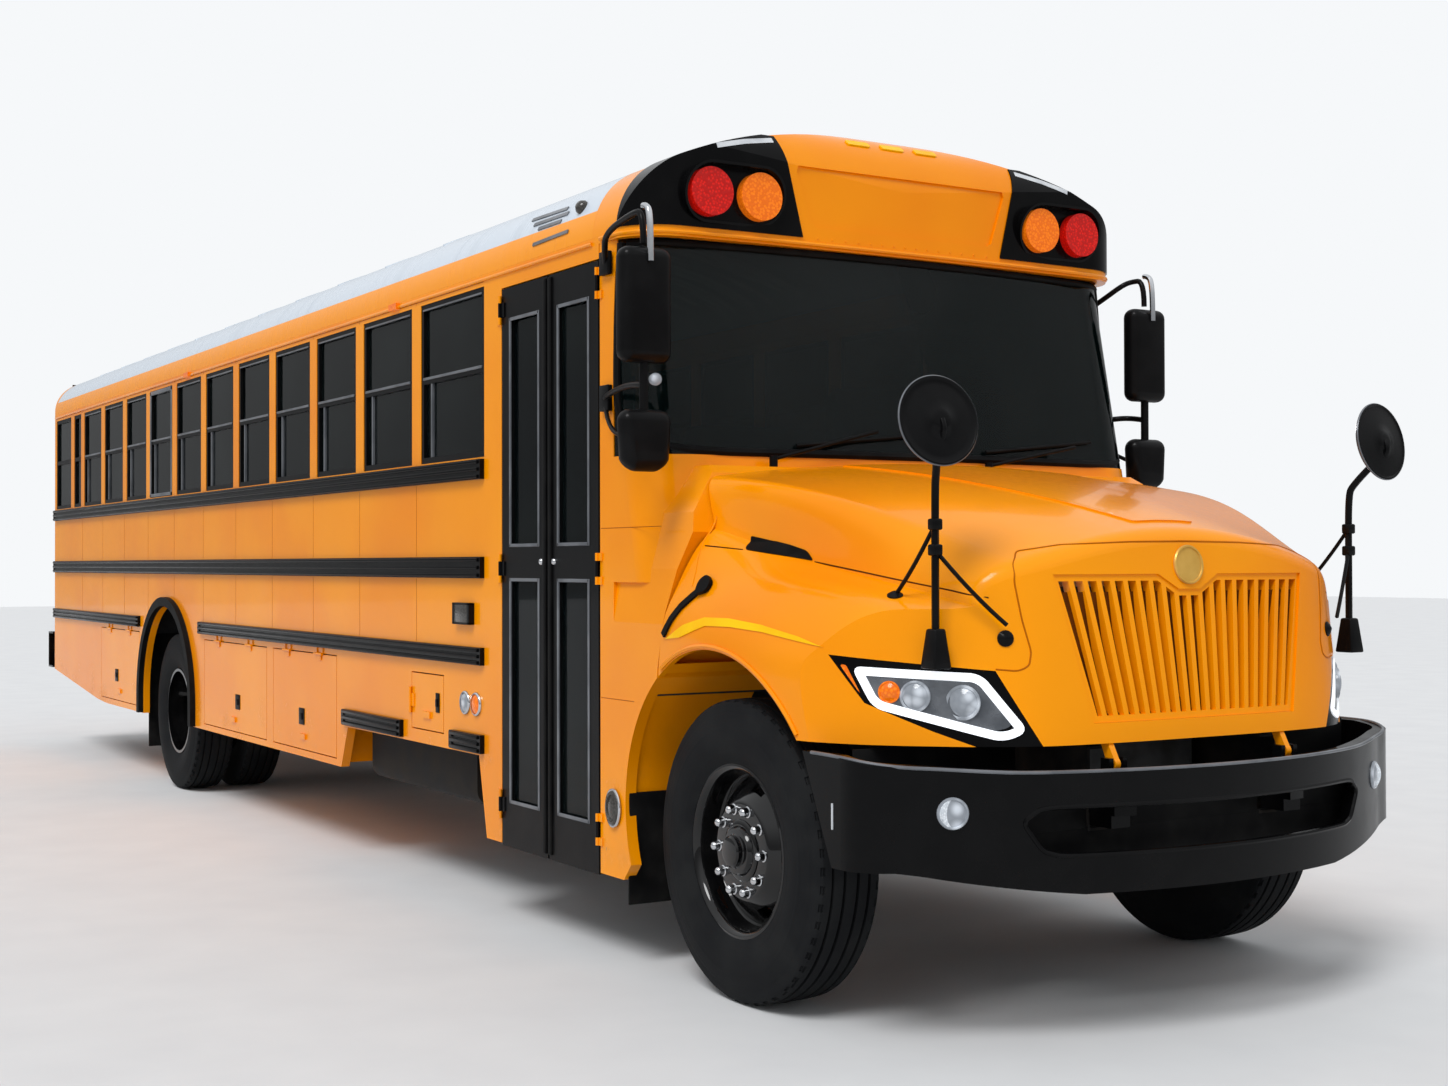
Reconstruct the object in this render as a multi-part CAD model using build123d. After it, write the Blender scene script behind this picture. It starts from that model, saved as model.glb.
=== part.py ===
from build123d import *
import math
import os

os.makedirs("parts", exist_ok=True)

# A long-nosed school bus, in millimetres. X runs forward, Y to the left, Z up from the road.
# Places along X are stations measured from the front axle. save() moves every piece forward
# by AXLE_X, so that X = 0 is the middle of the overall length.

# Overall
FRONT_REACH = 1200          # front axle to the face of the front bumper
REAR_REACH = 11100          # front axle to the back of the rear bumper
WHEELBASE = 7220
AXLE_X = (REAR_REACH - FRONT_REACH) / 2
BODY_WIDTH = 2440
HALF = BODY_WIDTH / 2
SEAT_GAP = 0.3              # pieces that bolt together stand this far apart
MOVE_GAP = 8                # clearance of what swings

# Body shell
WALL = 45                   # outer skin, bows and lining together
SHEET = 20                  # single panels
FLOOR_TOP = 1080
FLOOR_THICK = 50
ROOF_TOP = 3260
ROOF_SPRING = 2780          # where the walls end and the roof's corner arc starts
ROOF_CORNER_R = 300
ROOF_THICK = 50
BODY_REAR = -10930
REAR_SEAM = -10830          # side walls end here and the rear cap begins
REAR_CORNER_R = 90
CAP_SEAM = -928             # the roof ends here and the front cap begins
CAP_FACE = -545             # face of the cap with the warning lamps
CAP_CORNER_R = 200
CAP_BOTTOM = 2752
DOOR_FRONT = -878           # side walls end here and the cowl begins
DOOR_REAR = -1778
DOOR_TOP = 2695
DOOR_BOTTOM = 325
SKIRT_BOTTOM = 470
SKIRT_RAISED = 684          # the skirt is higher over the fuel tank
SKIRT_TAIL = 640
SKIRT_TAIL_X = -9260
SKIRT_STEP_X = -3774
SKIRT_SLOPE = 99            # the step's run along X
SKIRT_FRONT_X = -2017
ENTRY_SILL_X = -1934
ENTRY_SILL = 334

# Windows, from the entrance door back: where each bay's front pillar is centred
WINDOW_SILL = 1986
WINDOW_TOP = 2729
PILLAR = 110
FIRST_WINDOW = -1958        # front edge of the first window
PILLARS = (-2739, -3500, -4213, -4924, -5634, -6340, -7039, -7730, -8413, -9101, -9799, -10164)
LAST_WINDOW = -10785        # rear edge of the last window
EXIT_WINDOW = 7             # the push-out bay, counted from 0
SASH = 28                   # width of the black window frame
SASH_DEPTH = 36
MID_RAIL = 2372             # the split of each window, measured to the bar's middle
MID_RAIL_TALL = 30
GLASS = 6
DRIVER_WINDOW_X = (-1700, -985)

# Rub rails: low z, high z, rear x, front x
RAIL_PROUD = 22
RAILS = (
    (1889, 1977, BODY_REAR + 120, FIRST_WINDOW),
    (1457, 1551, BODY_REAR + 120, FIRST_WINDOW),
    (1078, 1155, BODY_REAR + 120, -7943),
    (1078, 1155, -6399, FIRST_WINDOW),
    (695, 776, -3717, -2904),
    (695, 776, -2306, FIRST_WINDOW),
)

# Wheels and tyres
TYRE_R = 526
TYRE_WIDE = 280
RIM_R = 286
RIM_WIDE = 224
RIM_WALL = 18
WHEEL_Y = 1030              # middle of the front tyre and of the outer rear tyre
TWIN_Y = 695                # middle of the inner rear tyre
LUG_CIRCLE = 335
LUGS = 10
HAND_HOLES = 5

# Steering
KINGPIN_Y = 860
KINGPIN_R = 18
STEER_ARM = 200
TIE_Z = 425
PIN_GAP = 0.3

# Chassis
RAIL_OUT = 432              # outer face of the frame rails
RAIL_WEB = 9
RAIL_FLANGE = 82
RAIL_BOTTOM = 660
RAIL_TOP = 930
RAIL_FRONT = 985
RAIL_REAR = -10690

# Arches
REAR_ARCH_R = 640
REAR_ARCH_Z = 600
FLARE_WIDE = 60
FLARE_PROUD = 35
FRONT_ARCH_R = 600
FRONT_ARCH_X = -70
FRONT_ARCH_Z = 620

# Hood: pivot of its tilt, and the seam, an arc about that pivot
HOOD_PIVOT_X = 1060
HOOD_PIVOT_Z = 880
HOOD_SEAM_R = 1497
HOOD_WALL = 24
HOOD_BOTTOM = 945
HOOD_REAR_TOP_X = -342
# station, crown z, shoulder y z, seam y z, crest y z, flare y z, side y
HOOD_SECTIONS = (
    (-460, 1912, 1040, 1862, 1160, 1700, 1200, 1500, 1220, 1300, 1220),
    (0, 1862, 1000, 1806, 1020, 1580, 1130, 1480, 1212, 1300, 1220),
    (340, 1802, 900, 1733, 945, 1500, 1090, 1440, 1180, 1262, 1200),
    (690, 1718, 760, 1610, 865, 1430, 1020, 1372, 1110, 1222, 1120),
    (1080, 1590, 640, 1490, 760, 1310, 900, 1215, 960, 1120, 975),
)


def block(x0, x1, y0, y1, z0, z1):
    """A block between two corners."""
    middle = Pos((x0 + x1) / 2, (y0 + y1) / 2, (z0 + z1) / 2)
    return middle * Box(abs(x1 - x0), abs(y1 - y0), abs(z1 - z0))


def plate_y(points, y0, y1):
    """A plate across Y with its outline in (x, z)."""
    outline = Polyline(*[(x, y0, z) for x, z in points], close=True)
    return extrude(make_face(outline), amount=y1 - y0, dir=(0, 1, 0))


def plate_x(points, x0, x1):
    """A plate across X with its outline in (y, z)."""
    outline = Polyline(*[(x0, y, z) for y, z in points], close=True)
    return extrude(make_face(outline), amount=x1 - x0, dir=(1, 0, 0))


def drum_y(x, z, radius, y0, y1):
    """A cylinder whose axis is along Y."""
    return Pos(x, (y0 + y1) / 2, z) * Rot(90, 0, 0) * Cylinder(radius, abs(y1 - y0))


def drum_x(y, z, radius, x0, x1):
    """A cylinder whose axis is along X."""
    return Pos((x0 + x1) / 2, y, z) * Rot(0, 90, 0) * Cylinder(radius, abs(x1 - x0))


def drum_z(x, y, radius, z0, z1):
    """A cylinder whose axis is along Z."""
    return Pos(x, y, (z0 + z1) / 2) * Cylinder(radius, abs(z1 - z0))


def tube(points, diameter, bend):
    """A round bar along straight runs with bends of one radius."""
    path = FilletPolyline(*points, radius=bend)
    start = Plane(origin=path @ 0, z_dir=path % 0)
    return sweep(start * Circle(diameter / 2), path=path)


def rod(start, end, diameter):
    """A straight round bar between two points."""
    path = Line(start, end)
    plane = Plane(origin=start, z_dir=path % 0)
    return extrude(plane * Circle(diameter / 2), amount=path.length)


def turned(profile, x, y, z):
    """A shape turned about Y, from (y, radius) points."""
    outline = Polyline(*[(0, along, radius) for along, radius in profile], close=True)
    return Pos(x, y, z) * revolve(make_face(outline), axis=Axis.Y)


def mirrored(shape):
    """The same piece on the other side of the bus."""
    return mirror(shape, about=Plane.XZ)


# Butt hinges on a skin: the moving half reaches towards +x of its plane, outward is +y
HINGE_OUT = 9               # hinge line outside the skin
HINGE_R = 7
HINGE_PIN_R = 3.5
HINGE_HALF = 30             # half of the moving barrel
HINGE_LENGTH = 122
HINGE_STRAP = 34
HINGE_EDGE = 3              # hinge line to the panel's edge
BEARING_GAP = 0.3


def hinge_halves(planes):
    """Moving and fixed halves of hinges set on planes whose z lies along the hinge line."""
    moving = []
    fixed = []
    end = HINGE_LENGTH / 2
    for plane in planes:
        barrel = Pos(0, HINGE_OUT, 0) * Cylinder(HINGE_R, 2 * HINGE_HALF)
        strap = block(HINGE_EDGE, HINGE_STRAP, -1, HINGE_OUT - 3, -HINGE_HALF, HINGE_HALF)
        bore = Pos(0, HINGE_OUT, 0) * Cylinder(HINGE_PIN_R + BEARING_GAP, 2 * HINGE_LENGTH)
        moving.append(plane * (barrel + strap - bore))
        half = Pos(0, HINGE_OUT, 0) * Cylinder(HINGE_PIN_R, HINGE_LENGTH)
        for low, high in ((-end, -HINGE_HALF - 1), (HINGE_HALF + 1, end)):
            half += Pos(0, HINGE_OUT, (low + high) / 2) * Cylinder(HINGE_R, high - low)
            half += block(-HINGE_STRAP, -HINGE_EDGE, -1, HINGE_OUT - 3, low, high)
        fixed.append(plane * half)
    return moving, fixed


def save(name, *shapes):
    """Write one node, moved from stations to the row's frame."""
    solids = [solid for shape in shapes for solid in shape.solids()]
    node = solids[0] if len(solids) == 1 else Compound(children=solids)
    export_step(Pos(AXLE_X, 0, 0) * node, "parts/" + name + ".step")


# The cross-section of the roof: walls, corner arcs and one crown arc tangent to them

def roof_region(inset, floor_z):
    """The body's cross-section above floor_z, drawn inset from the outer skin."""
    half = HALF - inset
    corner = ROOF_CORNER_R - inset
    reach = HALF - ROOF_CORNER_R
    rise = ROOF_TOP - ROOF_SPRING
    crown = (reach ** 2 + rise ** 2 - ROOF_CORNER_R ** 2) / (2 * (rise - ROOF_CORNER_R)) - inset
    centre_z = ROOF_TOP - inset - crown
    lean = math.atan2(reach, ROOF_SPRING - centre_z)
    meet = (crown * math.sin(lean), centre_z + crown * math.cos(lean))
    half_turn = (math.pi / 2 + lean) / 2
    bulge = (reach + corner * math.sin(half_turn), ROOF_SPRING + corner * math.cos(half_turn))
    edges = [
        Line((0, -half, floor_z), (0, -half, ROOF_SPRING)),
        ThreePointArc((0, -half, ROOF_SPRING), (0, -bulge[0], bulge[1]), (0, -meet[0], meet[1])),
        ThreePointArc((0, -meet[0], meet[1]), (0, 0, ROOF_TOP - inset), (0, meet[0], meet[1])),
        ThreePointArc((0, meet[0], meet[1]), (0, bulge[0], bulge[1]), (0, half, ROOF_SPRING)),
        Line((0, half, ROOF_SPRING), (0, half, floor_z)),
        Line((0, half, floor_z), (0, -half, floor_z)),
    ]
    return make_face(edges)


def roof_prism(inset, x0, x1, floor_z):
    """The body's cross-section drawn out along X."""
    return Pos(x0, 0, 0) * extrude(roof_region(inset, floor_z), amount=x1 - x0, dir=(1, 0, 0))


def front_plan(z, face_x, bow, corner, inset, back_x):
    """The body's front seen from above: straight sides, round corners and a bowed face."""
    half = HALF - inset
    radius = corner - inset
    side_x = face_x - bow - corner
    flat_y = HALF - corner
    bulge = radius * math.sqrt(0.5)
    edges = [
        Line((back_x, -half, z), (side_x, -half, z)),
        ThreePointArc((side_x, -half, z), (side_x + bulge, -flat_y - bulge, z),
                      (side_x + radius, -flat_y, z)),
        ThreePointArc((side_x + radius, -flat_y, z), (face_x - inset, 0, z),
                      (side_x + radius, flat_y, z)),
        ThreePointArc((side_x + radius, flat_y, z), (side_x + bulge, flat_y + bulge, z),
                      (side_x, half, z)),
        Line((side_x, half, z), (back_x, half, z)),
        Line((back_x, half, z), (back_x, -half, z)),
    ]
    return make_face(edges)


# Windshield zone: the body's front leans back from the cowl to the cap
GLASS_LOW = 1925
GLASS_HIGH = 2745
GLASS_LOW_X = -402          # middle of the pane's lower edge
GLASS_HIGH_X = -568
GLASS_BOW = 62
GLASS_CORNER_R = 215
GLASS_SIDE_X = -760         # the pane's edge on the side
GLASS_THICK = 8
SURROUND = 40               # black rubber and pillar round the pane
COWL_TOP = 1880
COWL_CORNER_Z = 1450        # from here up the cowl's corners are rounded as the windshield's are
FIREWALL_X = -500


def lean_x(z):
    """Station of the front face's middle at a height."""
    return GLASS_LOW_X + (GLASS_HIGH_X - GLASS_LOW_X) * (z - GLASS_LOW) / (GLASS_HIGH - GLASS_LOW)


def front_zone(inset, low, high, back_x):
    """The body's leaning front between two heights, as a solid block."""
    sections = [
        front_plan(z, lean_x(z), GLASS_BOW, GLASS_CORNER_R, inset, back_x) for z in (low, high)
    ]
    return loft(sections)


def seam_points(gap):
    """The line between cowl and hood, as (x, z), from below up."""
    points = []
    for degrees in (-20, -10, 0, 10, 18, 24, 30):
        angle = math.radians(degrees)
        radius = HOOD_SEAM_R + gap
        points.append((HOOD_PIVOT_X - radius * math.cos(angle), HOOD_PIVOT_Z + radius * math.sin(angle)))
    points.append((HOOD_REAR_TOP_X + 50 - gap, 1850))
    points.append((HOOD_REAR_TOP_X - gap, 1915))
    points.append((HOOD_REAR_TOP_X - gap, 2000))
    return points


def hood_section(row, inset, drop):
    """One cross-section of hood and fenders, closed below: crown arc, corners, wings and sides."""
    (x, crown, shoulder_y, shoulder_z, seam_y, seam_z, crest_y, crest_z, flare_y, flare_z,
     side_y) = row
    shoulder = (shoulder_y - inset * 0.6, shoulder_z - inset)
    seam = (seam_y - inset, seam_z - inset * 0.5)
    crest = (crest_y - inset, crest_z - inset)
    flare = (flare_y - inset, flare_z - inset * 0.5)
    side_top = (side_y - inset, HOOD_BOTTOM + 110)
    low = HOOD_BOTTOM - drop
    crown_slope = 2 * (crown - shoulder_z) / shoulder_y
    edges = [ThreePointArc((x, -shoulder[0], shoulder[1]), (x, 0, crown - inset), (x, *shoulder))]
    for side in (1, -1):
        corner = [(x, side * y, z) for y, z in (shoulder, seam)]
        wing = [(x, side * y, z) for y, z in (seam, crest, flare, side_top)]
        edges.append(Spline(*corner, tangents=[(0, side, -crown_slope), (0, side * 0.12, -1)]))
        edges.append(Spline(*wing, tangents=[(0, side, -WING_SLOPE), (0, 0, -1)]))
        edges.append(Line(wing[-1], (x, wing[-1][1], low)))
    edges.append(Line((x, side_top[0], low), (x, -side_top[0], low)))
    return make_face(edges)


# Plan of the nose: middle x, then bow and corner, at the bottom and at the top of the hood
NOSE_LOW_X = 1066
NOSE_HIGH_X = 985
NOSE_LOW_Z = 900
NOSE_HIGH_Z = 1640
HOOD_BROW_R = 70            # rounding from the hood's top over to the nose
RIM_BEHIND = 850            # the edges that it rounds lie ahead of and above these
RIM_ABOVE = 1400
WING_SLOPE = 0.55           # how steeply a fender leaves its seam with the hood


def nose_plan(z, front_x, inset):
    """The nose and fenders from above."""
    outline = [
        (front_x - inset, 0),
        (front_x - 20 - inset, 520 - inset * 0.1),
        (front_x - 70 - inset, 720 - inset * 0.3),
        (front_x - 200 - inset, 900 - inset * 0.6),
        (front_x - 420 - inset * 0.7, 1100 - inset * 0.8),
        (front_x - 640 - inset * 0.3, 1200 - inset),
        (front_x - 800, HALF + 40),
    ]
    right = [(x, -y, z) for x, y in reversed(outline[1:])]
    front = right + [(x, y, z) for x, y in outline]
    back = front_x - 1700
    wide = HALF + 40
    edges = [
        Spline(*front),
        Line(front[-1], (back, wide, z)),
        Line((back, wide, z), (back, -wide, z)),
        Line((back, -wide, z), front[0]),
    ]
    return make_face(edges)


def hood_form(inset, drop):
    """Hood and fenders as one solid form."""
    body = loft([hood_section(row, inset, drop) for row in HOOD_SECTIONS])
    low = NOSE_LOW_Z - 200
    high = NOSE_HIGH_Z + 400
    slope = (NOSE_HIGH_X - NOSE_LOW_X) / (NOSE_HIGH_Z - NOSE_LOW_Z)
    plans = [nose_plan(z, NOSE_LOW_X + slope * (z - NOSE_LOW_Z), inset) for z in (low, high)]
    form = body & loft(plans)
    brow = HOOD_BROW_R - inset
    if brow > 0:
        rim = [e for e in form.edges() if e.center().X > RIM_BEHIND and e.center().Z > RIM_ABOVE]
        form = fillet(rim, brow)
    return form


# Grille: the opening's top and bottom corners, the dip round the badge, and the slats
GRILLE_TOP = 1482
GRILLE_BOTTOM = 1009
GRILLE_TOP_Y = 566
GRILLE_BOTTOM_Y = 456
DIP_Y = 95
DIP_Z = 1432
SLATS = 19
SLAT_WIDE = 20
GRILLE_FRAME = 22
BADGE_Z = 1508
BADGE_R = 62


def grille_outline(shrink):
    """The grille opening, as (y, z)."""
    return [
        (-GRILLE_BOTTOM_Y + shrink, GRILLE_BOTTOM + shrink),
        (GRILLE_BOTTOM_Y - shrink, GRILLE_BOTTOM + shrink),
        (GRILLE_TOP_Y - shrink, GRILLE_TOP - shrink),
        (DIP_Y + 40, GRILLE_TOP - shrink),
        (DIP_Y * 0.5, DIP_Z - shrink),
        (-DIP_Y * 0.5, DIP_Z - shrink),
        (-DIP_Y - 40, GRILLE_TOP - shrink),
        (-GRILLE_TOP_Y + shrink, GRILLE_TOP - shrink),
    ]


# Headlamp: its outline seen square on, as (along, z) from the inner end, and that view's turn
LAMP_OUTLINE = ((0, 944), (193, 941), (337, 990), (558, 1076), (681, 1227), (146, 1181))
LAMP_INNER = (1033, 660)
LAMP_TURN = 44              # degrees between the lamp's face and straight ahead
LAMP_DEPTH = 110


def lamp_prism(shrink, side):
    """A prism through the fender's corner, in the headlamp's outline."""
    turn = math.radians(LAMP_TURN)
    along = (-math.sin(turn), math.cos(turn))
    middle_u = sum(u for u, z in LAMP_OUTLINE) / len(LAMP_OUTLINE)
    middle_z = sum(z for u, z in LAMP_OUTLINE) / len(LAMP_OUTLINE)
    points = []
    for u, z in LAMP_OUTLINE:
        reach = math.hypot(u - middle_u, z - middle_z)
        keep = (reach - shrink) / reach
        flat_u = middle_u + (u - middle_u) * keep
        flat_z = middle_z + (z - middle_z) * keep
        x = LAMP_INNER[0] + along[0] * flat_u
        points.append((x, LAMP_INNER[1] + along[1] * flat_u, flat_z))
    face = make_face(Polyline(*points, close=True))
    prism = extrude(face, amount=300, dir=(math.cos(turn), math.sin(turn), 0), both=True)
    return prism if side > 0 else mirrored(prism)


# Hood hinge: bosses on brackets under the nose, pins in ears on the bumper's arms
HOOD_HINGE_Y = 390
HOOD_BOSS_R = 20
HOOD_BOSS_WIDE = 22
HOOD_PIN_R = 10


def hood_brackets():
    """The two brackets under the nose that carry the hood on its pins."""
    outline = [(1000, 1000), (1036, 1000), (1044, 948), (1078, 885), (1042, 875), (1010, 948)]
    brackets = []
    for side in (-1, 1):
        y0 = side * HOOD_HINGE_Y - HOOD_BOSS_WIDE / 2
        bracket = plate_y(outline, y0, y0 + HOOD_BOSS_WIDE)
        bracket += drum_y(HOOD_PIVOT_X, HOOD_PIVOT_Z, HOOD_BOSS_R, y0, y0 + HOOD_BOSS_WIDE)
        bracket -= drum_y(HOOD_PIVOT_X, HOOD_PIVOT_Z, HOOD_PIN_R + BEARING_GAP, y0 - 5, y0 + 50)
        brackets.append(bracket)
    return brackets


def hood_shell():
    """Hood, nose and fenders: one moulding that tilts forward."""
    shell = hood_form(0, 0) - hood_form(HOOD_WALL, 60)
    shell -= drum_y(FRONT_ARCH_X, FRONT_ARCH_Z, FRONT_ARCH_R, -HALF - 50, HALF + 50)
    behind = [(-2000, -200)] + seam_points(0) + [(HOOD_REAR_TOP_X, 2300), (-2000, 2300)]
    shell -= plate_y(behind, -HALF - 50, HALF + 50)
    shell -= plate_x(grille_outline(0), 600, 1300)
    for side in (-1, 1):
        shell -= lamp_prism(0, side)
    shell = max(shell.solids(), key=lambda solid: solid.volume)
    return shell + hood_brackets()


def grille():
    """Vertical slats in a frame that seats in the nose's opening."""
    skin = hood_form(HOOD_WALL * 0.3, 0) - hood_form(HOOD_WALL * 1.6, 60)
    opening = plate_x(grille_outline(SEAT_GAP), 600, 1300)
    inner = plate_x(grille_outline(GRILLE_FRAME), 500, 1400)
    bars = opening - inner
    pitch = 2 / (SLATS + 1)
    for index in range(SLATS):
        share = -1 + pitch * (index + 1)
        low = share * (GRILLE_BOTTOM_Y - 10)
        high = share * (GRILLE_TOP_Y - 10)
        half = SLAT_WIDE / 2
        outline = [
            (low - half, GRILLE_BOTTOM),
            (low + half, GRILLE_BOTTOM),
            (high + half, GRILLE_TOP),
            (high - half, GRILLE_TOP),
        ]
        bars += opening & plate_x(outline, 600, 1300)
    return skin & opening & bars


def headlamps():
    """Lamp units that fill the fenders' corners."""
    lens = hood_form(3, 0) - hood_form(LAMP_DEPTH, 60)
    units = []
    for side in (-1, 1):
        unit = lens & lamp_prism(SEAT_GAP * 2, side)
        units.append(max(unit.solids(), key=lambda solid: solid.volume))
    return units


# Crossview mirrors on the fenders: base, pole and head, for the left side
CROSS_BASE = (865, 950, 1235)
CROSS_HEAD = (955, 1010, 1954)
CROSS_HEAD_R = 142
CROSS_POLE = 24
CROSS_PLATE = 12


def crossview_mirror():
    """A convex mirror on a braced pole."""
    x, y, z = CROSS_BASE
    foot = hood_form(-CROSS_PLATE, 0) & block(x - 55, x + 55, y - 42, y + 42, z - 200, z + 150)
    foot += block(x - 24, x + 24, y - 21, y + 21, z - 60, z + 90)
    pole = tube([(x, y, z + 60), (x, y, z + 560), (x + 55, y + 25, z + 640), (x + 60, y + 30, z + 700)],
                CROSS_POLE, 25)
    head_x, head_y, head_z = CROSS_HEAD
    dish = Pos(head_x - 25, head_y, head_z) * Rot(0, 90, 0) * Cylinder(CROSS_HEAD_R, 22)
    dome = Pos(head_x - 36 - 250, head_y, head_z) * Sphere(290)
    dome &= drum_x(head_y, head_z, CROSS_HEAD_R - 6, head_x - 400, head_x - 30)
    dome &= block(head_x - 110, head_x - 30, head_y - 200, head_y + 200, head_z - 200, head_z + 200)
    rear = rod((640, 940, 1402), (x, y, z + 400), 14)
    front = rod((975, 745, 1302), (x, y, z + 330), 14)
    mirror_parts = foot + pole + dish + rear + front
    mirror_parts -= hood_form(-SEAT_GAP, 0)
    return max(mirror_parts.solids(), key=lambda solid: solid.volume)


def cowl():
    """Firewall, scuttle and the pillars at both ends of the windshield."""
    outline = [(DOOR_FRONT + MOVE_GAP, ENTRY_SILL), (-683, ENTRY_SILL)]
    outline += [(x, z) for x, z in seam_points(MOVE_GAP) if z > ENTRY_SILL + 60 and z < COWL_TOP]
    outline += [(HOOD_REAR_TOP_X - MOVE_GAP, COWL_TOP), (DOOR_FRONT + MOVE_GAP, COWL_TOP)]
    lower = plate_y(outline, -HALF, HALF)
    corner = [(x, y, z) for x, y, z in (
        (-3000, 1040, COWL_TOP), (-3000, 1160, 1705), (-3000, 1200, 1500), (-3000, HALF, 1300),
        (-3000, HALF, 0))]
    left = [(y, z) for x, y, z in corner]
    right = [(-y, z) for y, z in reversed(left)]
    lower_front = plate_x(left + right, GLASS_SIDE_X, 0)
    lower_back = block(-3000, GLASS_SIDE_X, -HALF, HALF, 0, COWL_TOP)
    lower &= lower_front + lower_back
    lower -= block(-3000, FIREWALL_X, -HALF + WALL, HALF - WALL, 0, 3000)
    arch = drum_y(FRONT_ARCH_X, FRONT_ARCH_Z, FRONT_ARCH_R, -HALF - 50, HALF + 50)
    lower -= arch
    base = front_zone(0, COWL_CORNER_Z, GLASS_LOW, DOOR_FRONT + MOVE_GAP)
    base -= front_zone(WALL, COWL_CORNER_Z - 10, GLASS_LOW + 10, DOOR_FRONT - 100)
    base &= block(-1000, HOOD_REAR_TOP_X - MOVE_GAP, -HALF, HALF, 0, 3000)
    posts = front_zone(0, GLASS_LOW, CAP_BOTTOM - SEAT_GAP, DOOR_FRONT + MOVE_GAP)
    posts -= front_zone(WALL, GLASS_LOW - 10, CAP_BOTTOM + 10, DOOR_FRONT - 100)
    posts &= block(-1000, GLASS_SIDE_X, -HALF, HALF, 0, 3000)
    return lower + base + posts + hinge_halves(leaf_hinges("front"))[1]


def windshield():
    """One curved pane that wraps both corners, seated between the pillars."""
    pane = front_zone(4, GLASS_LOW + SEAT_GAP, CAP_BOTTOM - SEAT_GAP, -900)
    pane -= front_zone(4 + GLASS_THICK, GLASS_LOW - 10, CAP_BOTTOM + 10, -1000)
    return pane & block(GLASS_SIDE_X + SEAT_GAP, 0, -HALF, HALF, 0, 3000)


# Front cap
CAP_SKIN = 45
CAP_BROW_R = 250            # rounding from the cap's face over to the roof
RECESS = ((430, 2838), (452, 2852), (520, 3050), (512, 3072))
RECESS_DEEP = 10
CAP_OVER = 6                # the plan and the brow are drawn past walls and roof, to cross them cleanly


def cap_form(inset, back_x):
    """The cap over the windshield as a solid form."""
    form = roof_prism(inset, back_x, 0, CAP_BOTTOM - 50)
    plan = front_plan(0, CAP_FACE - CAP_OVER, 25, CAP_CORNER_R, inset - CAP_OVER, back_x - 10)
    form &= Pos(0, 0, CAP_BOTTOM - 60) * extrude(plan, amount=800, dir=(0, 0, 1))
    face = CAP_FACE - inset
    top = ROOF_TOP - inset + CAP_OVER
    radius = CAP_BROW_R - inset
    bulge = radius * math.sqrt(0.5)
    edges = [
        Line((back_x - 20, -HALF, CAP_BOTTOM - 60), (face, -HALF, CAP_BOTTOM - 60)),
        Line((face, -HALF, CAP_BOTTOM - 60), (face, -HALF, top - radius)),
        ThreePointArc((face, -HALF, top - radius),
                      (face - radius + bulge, -HALF, top - radius + bulge),
                      (face - radius, -HALF, top)),
        Line((face - radius, -HALF, top), (back_x - 20, -HALF, top)),
        Line((back_x - 20, -HALF, top), (back_x - 20, -HALF, CAP_BOTTOM - 60)),
    ]
    form &= Pos(0, -CAP_OVER, 0) * extrude(make_face(edges), amount=BODY_WIDTH + 2 * CAP_OVER, dir=(0, 1, 0))
    return form


def front_cap():
    """The cap above the windshield, open below and behind."""
    outer = cap_form(0, CAP_SEAM + SEAT_GAP)
    inner = cap_form(CAP_SKIN, CAP_SEAM - 100)
    cap = outer - inner
    cap -= block(-2000, 0, -HALF - 10, HALF + 10, 0, CAP_BOTTOM)
    header = block(-2000, DOOR_FRONT + SEAT_GAP, -HALF - 10, HALF + 10, 0, ROOF_SPRING + SEAT_GAP)
    right = [(-y, z) for y, z in reversed(RECESS)]
    recess = plate_x(list(RECESS) + right, CAP_FACE - 150, 0) - cap_form(RECESS_DEEP, -1000)
    return cap - header - recess


# Warning lamps, front and rear, as (y, colour), and the black panels behind them
WARNING_Y = ((924, "red"), (703, "amber"))
WARNING_Z = 2925
WARNING_R = 92
WARNING_PROUD = 24
PANEL_INNER = ((495, 2792), (593, 3188))
PANEL_THICK = 6
VISOR_GAP = 12
VISOR_WALL = 10
VISOR_PROUD = 62


def stadium(radius):
    """The outline round one pair of warning lamps, drawn radius out from their middles."""
    ends = sorted(y for y, shade in WARNING_Y)
    lamps = [drum_x(y, WARNING_Z, radius, CAP_FACE - 130, CAP_FACE + VISOR_PROUD) for y in ends]
    between = block(CAP_FACE - 130, CAP_FACE + VISOR_PROUD, *ends, WARNING_Z - radius, WARNING_Z + radius)
    return lamps[0] + lamps[1] + between


def lamp_visor():
    """Hood over one pair of warning lamps, deep above and flush below."""
    visor = stadium(WARNING_R + VISOR_GAP + VISOR_WALL) - stadium(WARNING_R + VISOR_GAP)
    high = WARNING_Z + 160
    low = WARNING_Z - 160
    cut = [(CAP_FACE - 20, low), (CAP_FACE + 200, low), (CAP_FACE + 200, high), (CAP_FACE + VISOR_PROUD, high)]
    visor -= plate_y(cut, 0, HALF)
    visor -= cap_form(1 - PANEL_THICK, -900)
    return visor


def lamp_panels():
    """Black surrounds of the warning lamps, wrapping the cap's corners, front and rear."""
    skin = cap_form(-PANEL_THICK, -725) - cap_form(-SEAT_GAP, -800)
    area = plate_x([(PANEL_INNER[0][0], 2792), (HALF + 20, 2792), (HALF + 20, 3188),
                    (PANEL_INNER[1][0], 3188)], -725, -400)
    left = (skin & area) + lamp_visor()
    rear = block(BODY_REAR - PANEL_THICK, BODY_REAR - SEAT_GAP, 560, 1060, 2800, 3060)
    return [left, mirrored(left), rear, mirrored(rear)]


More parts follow.
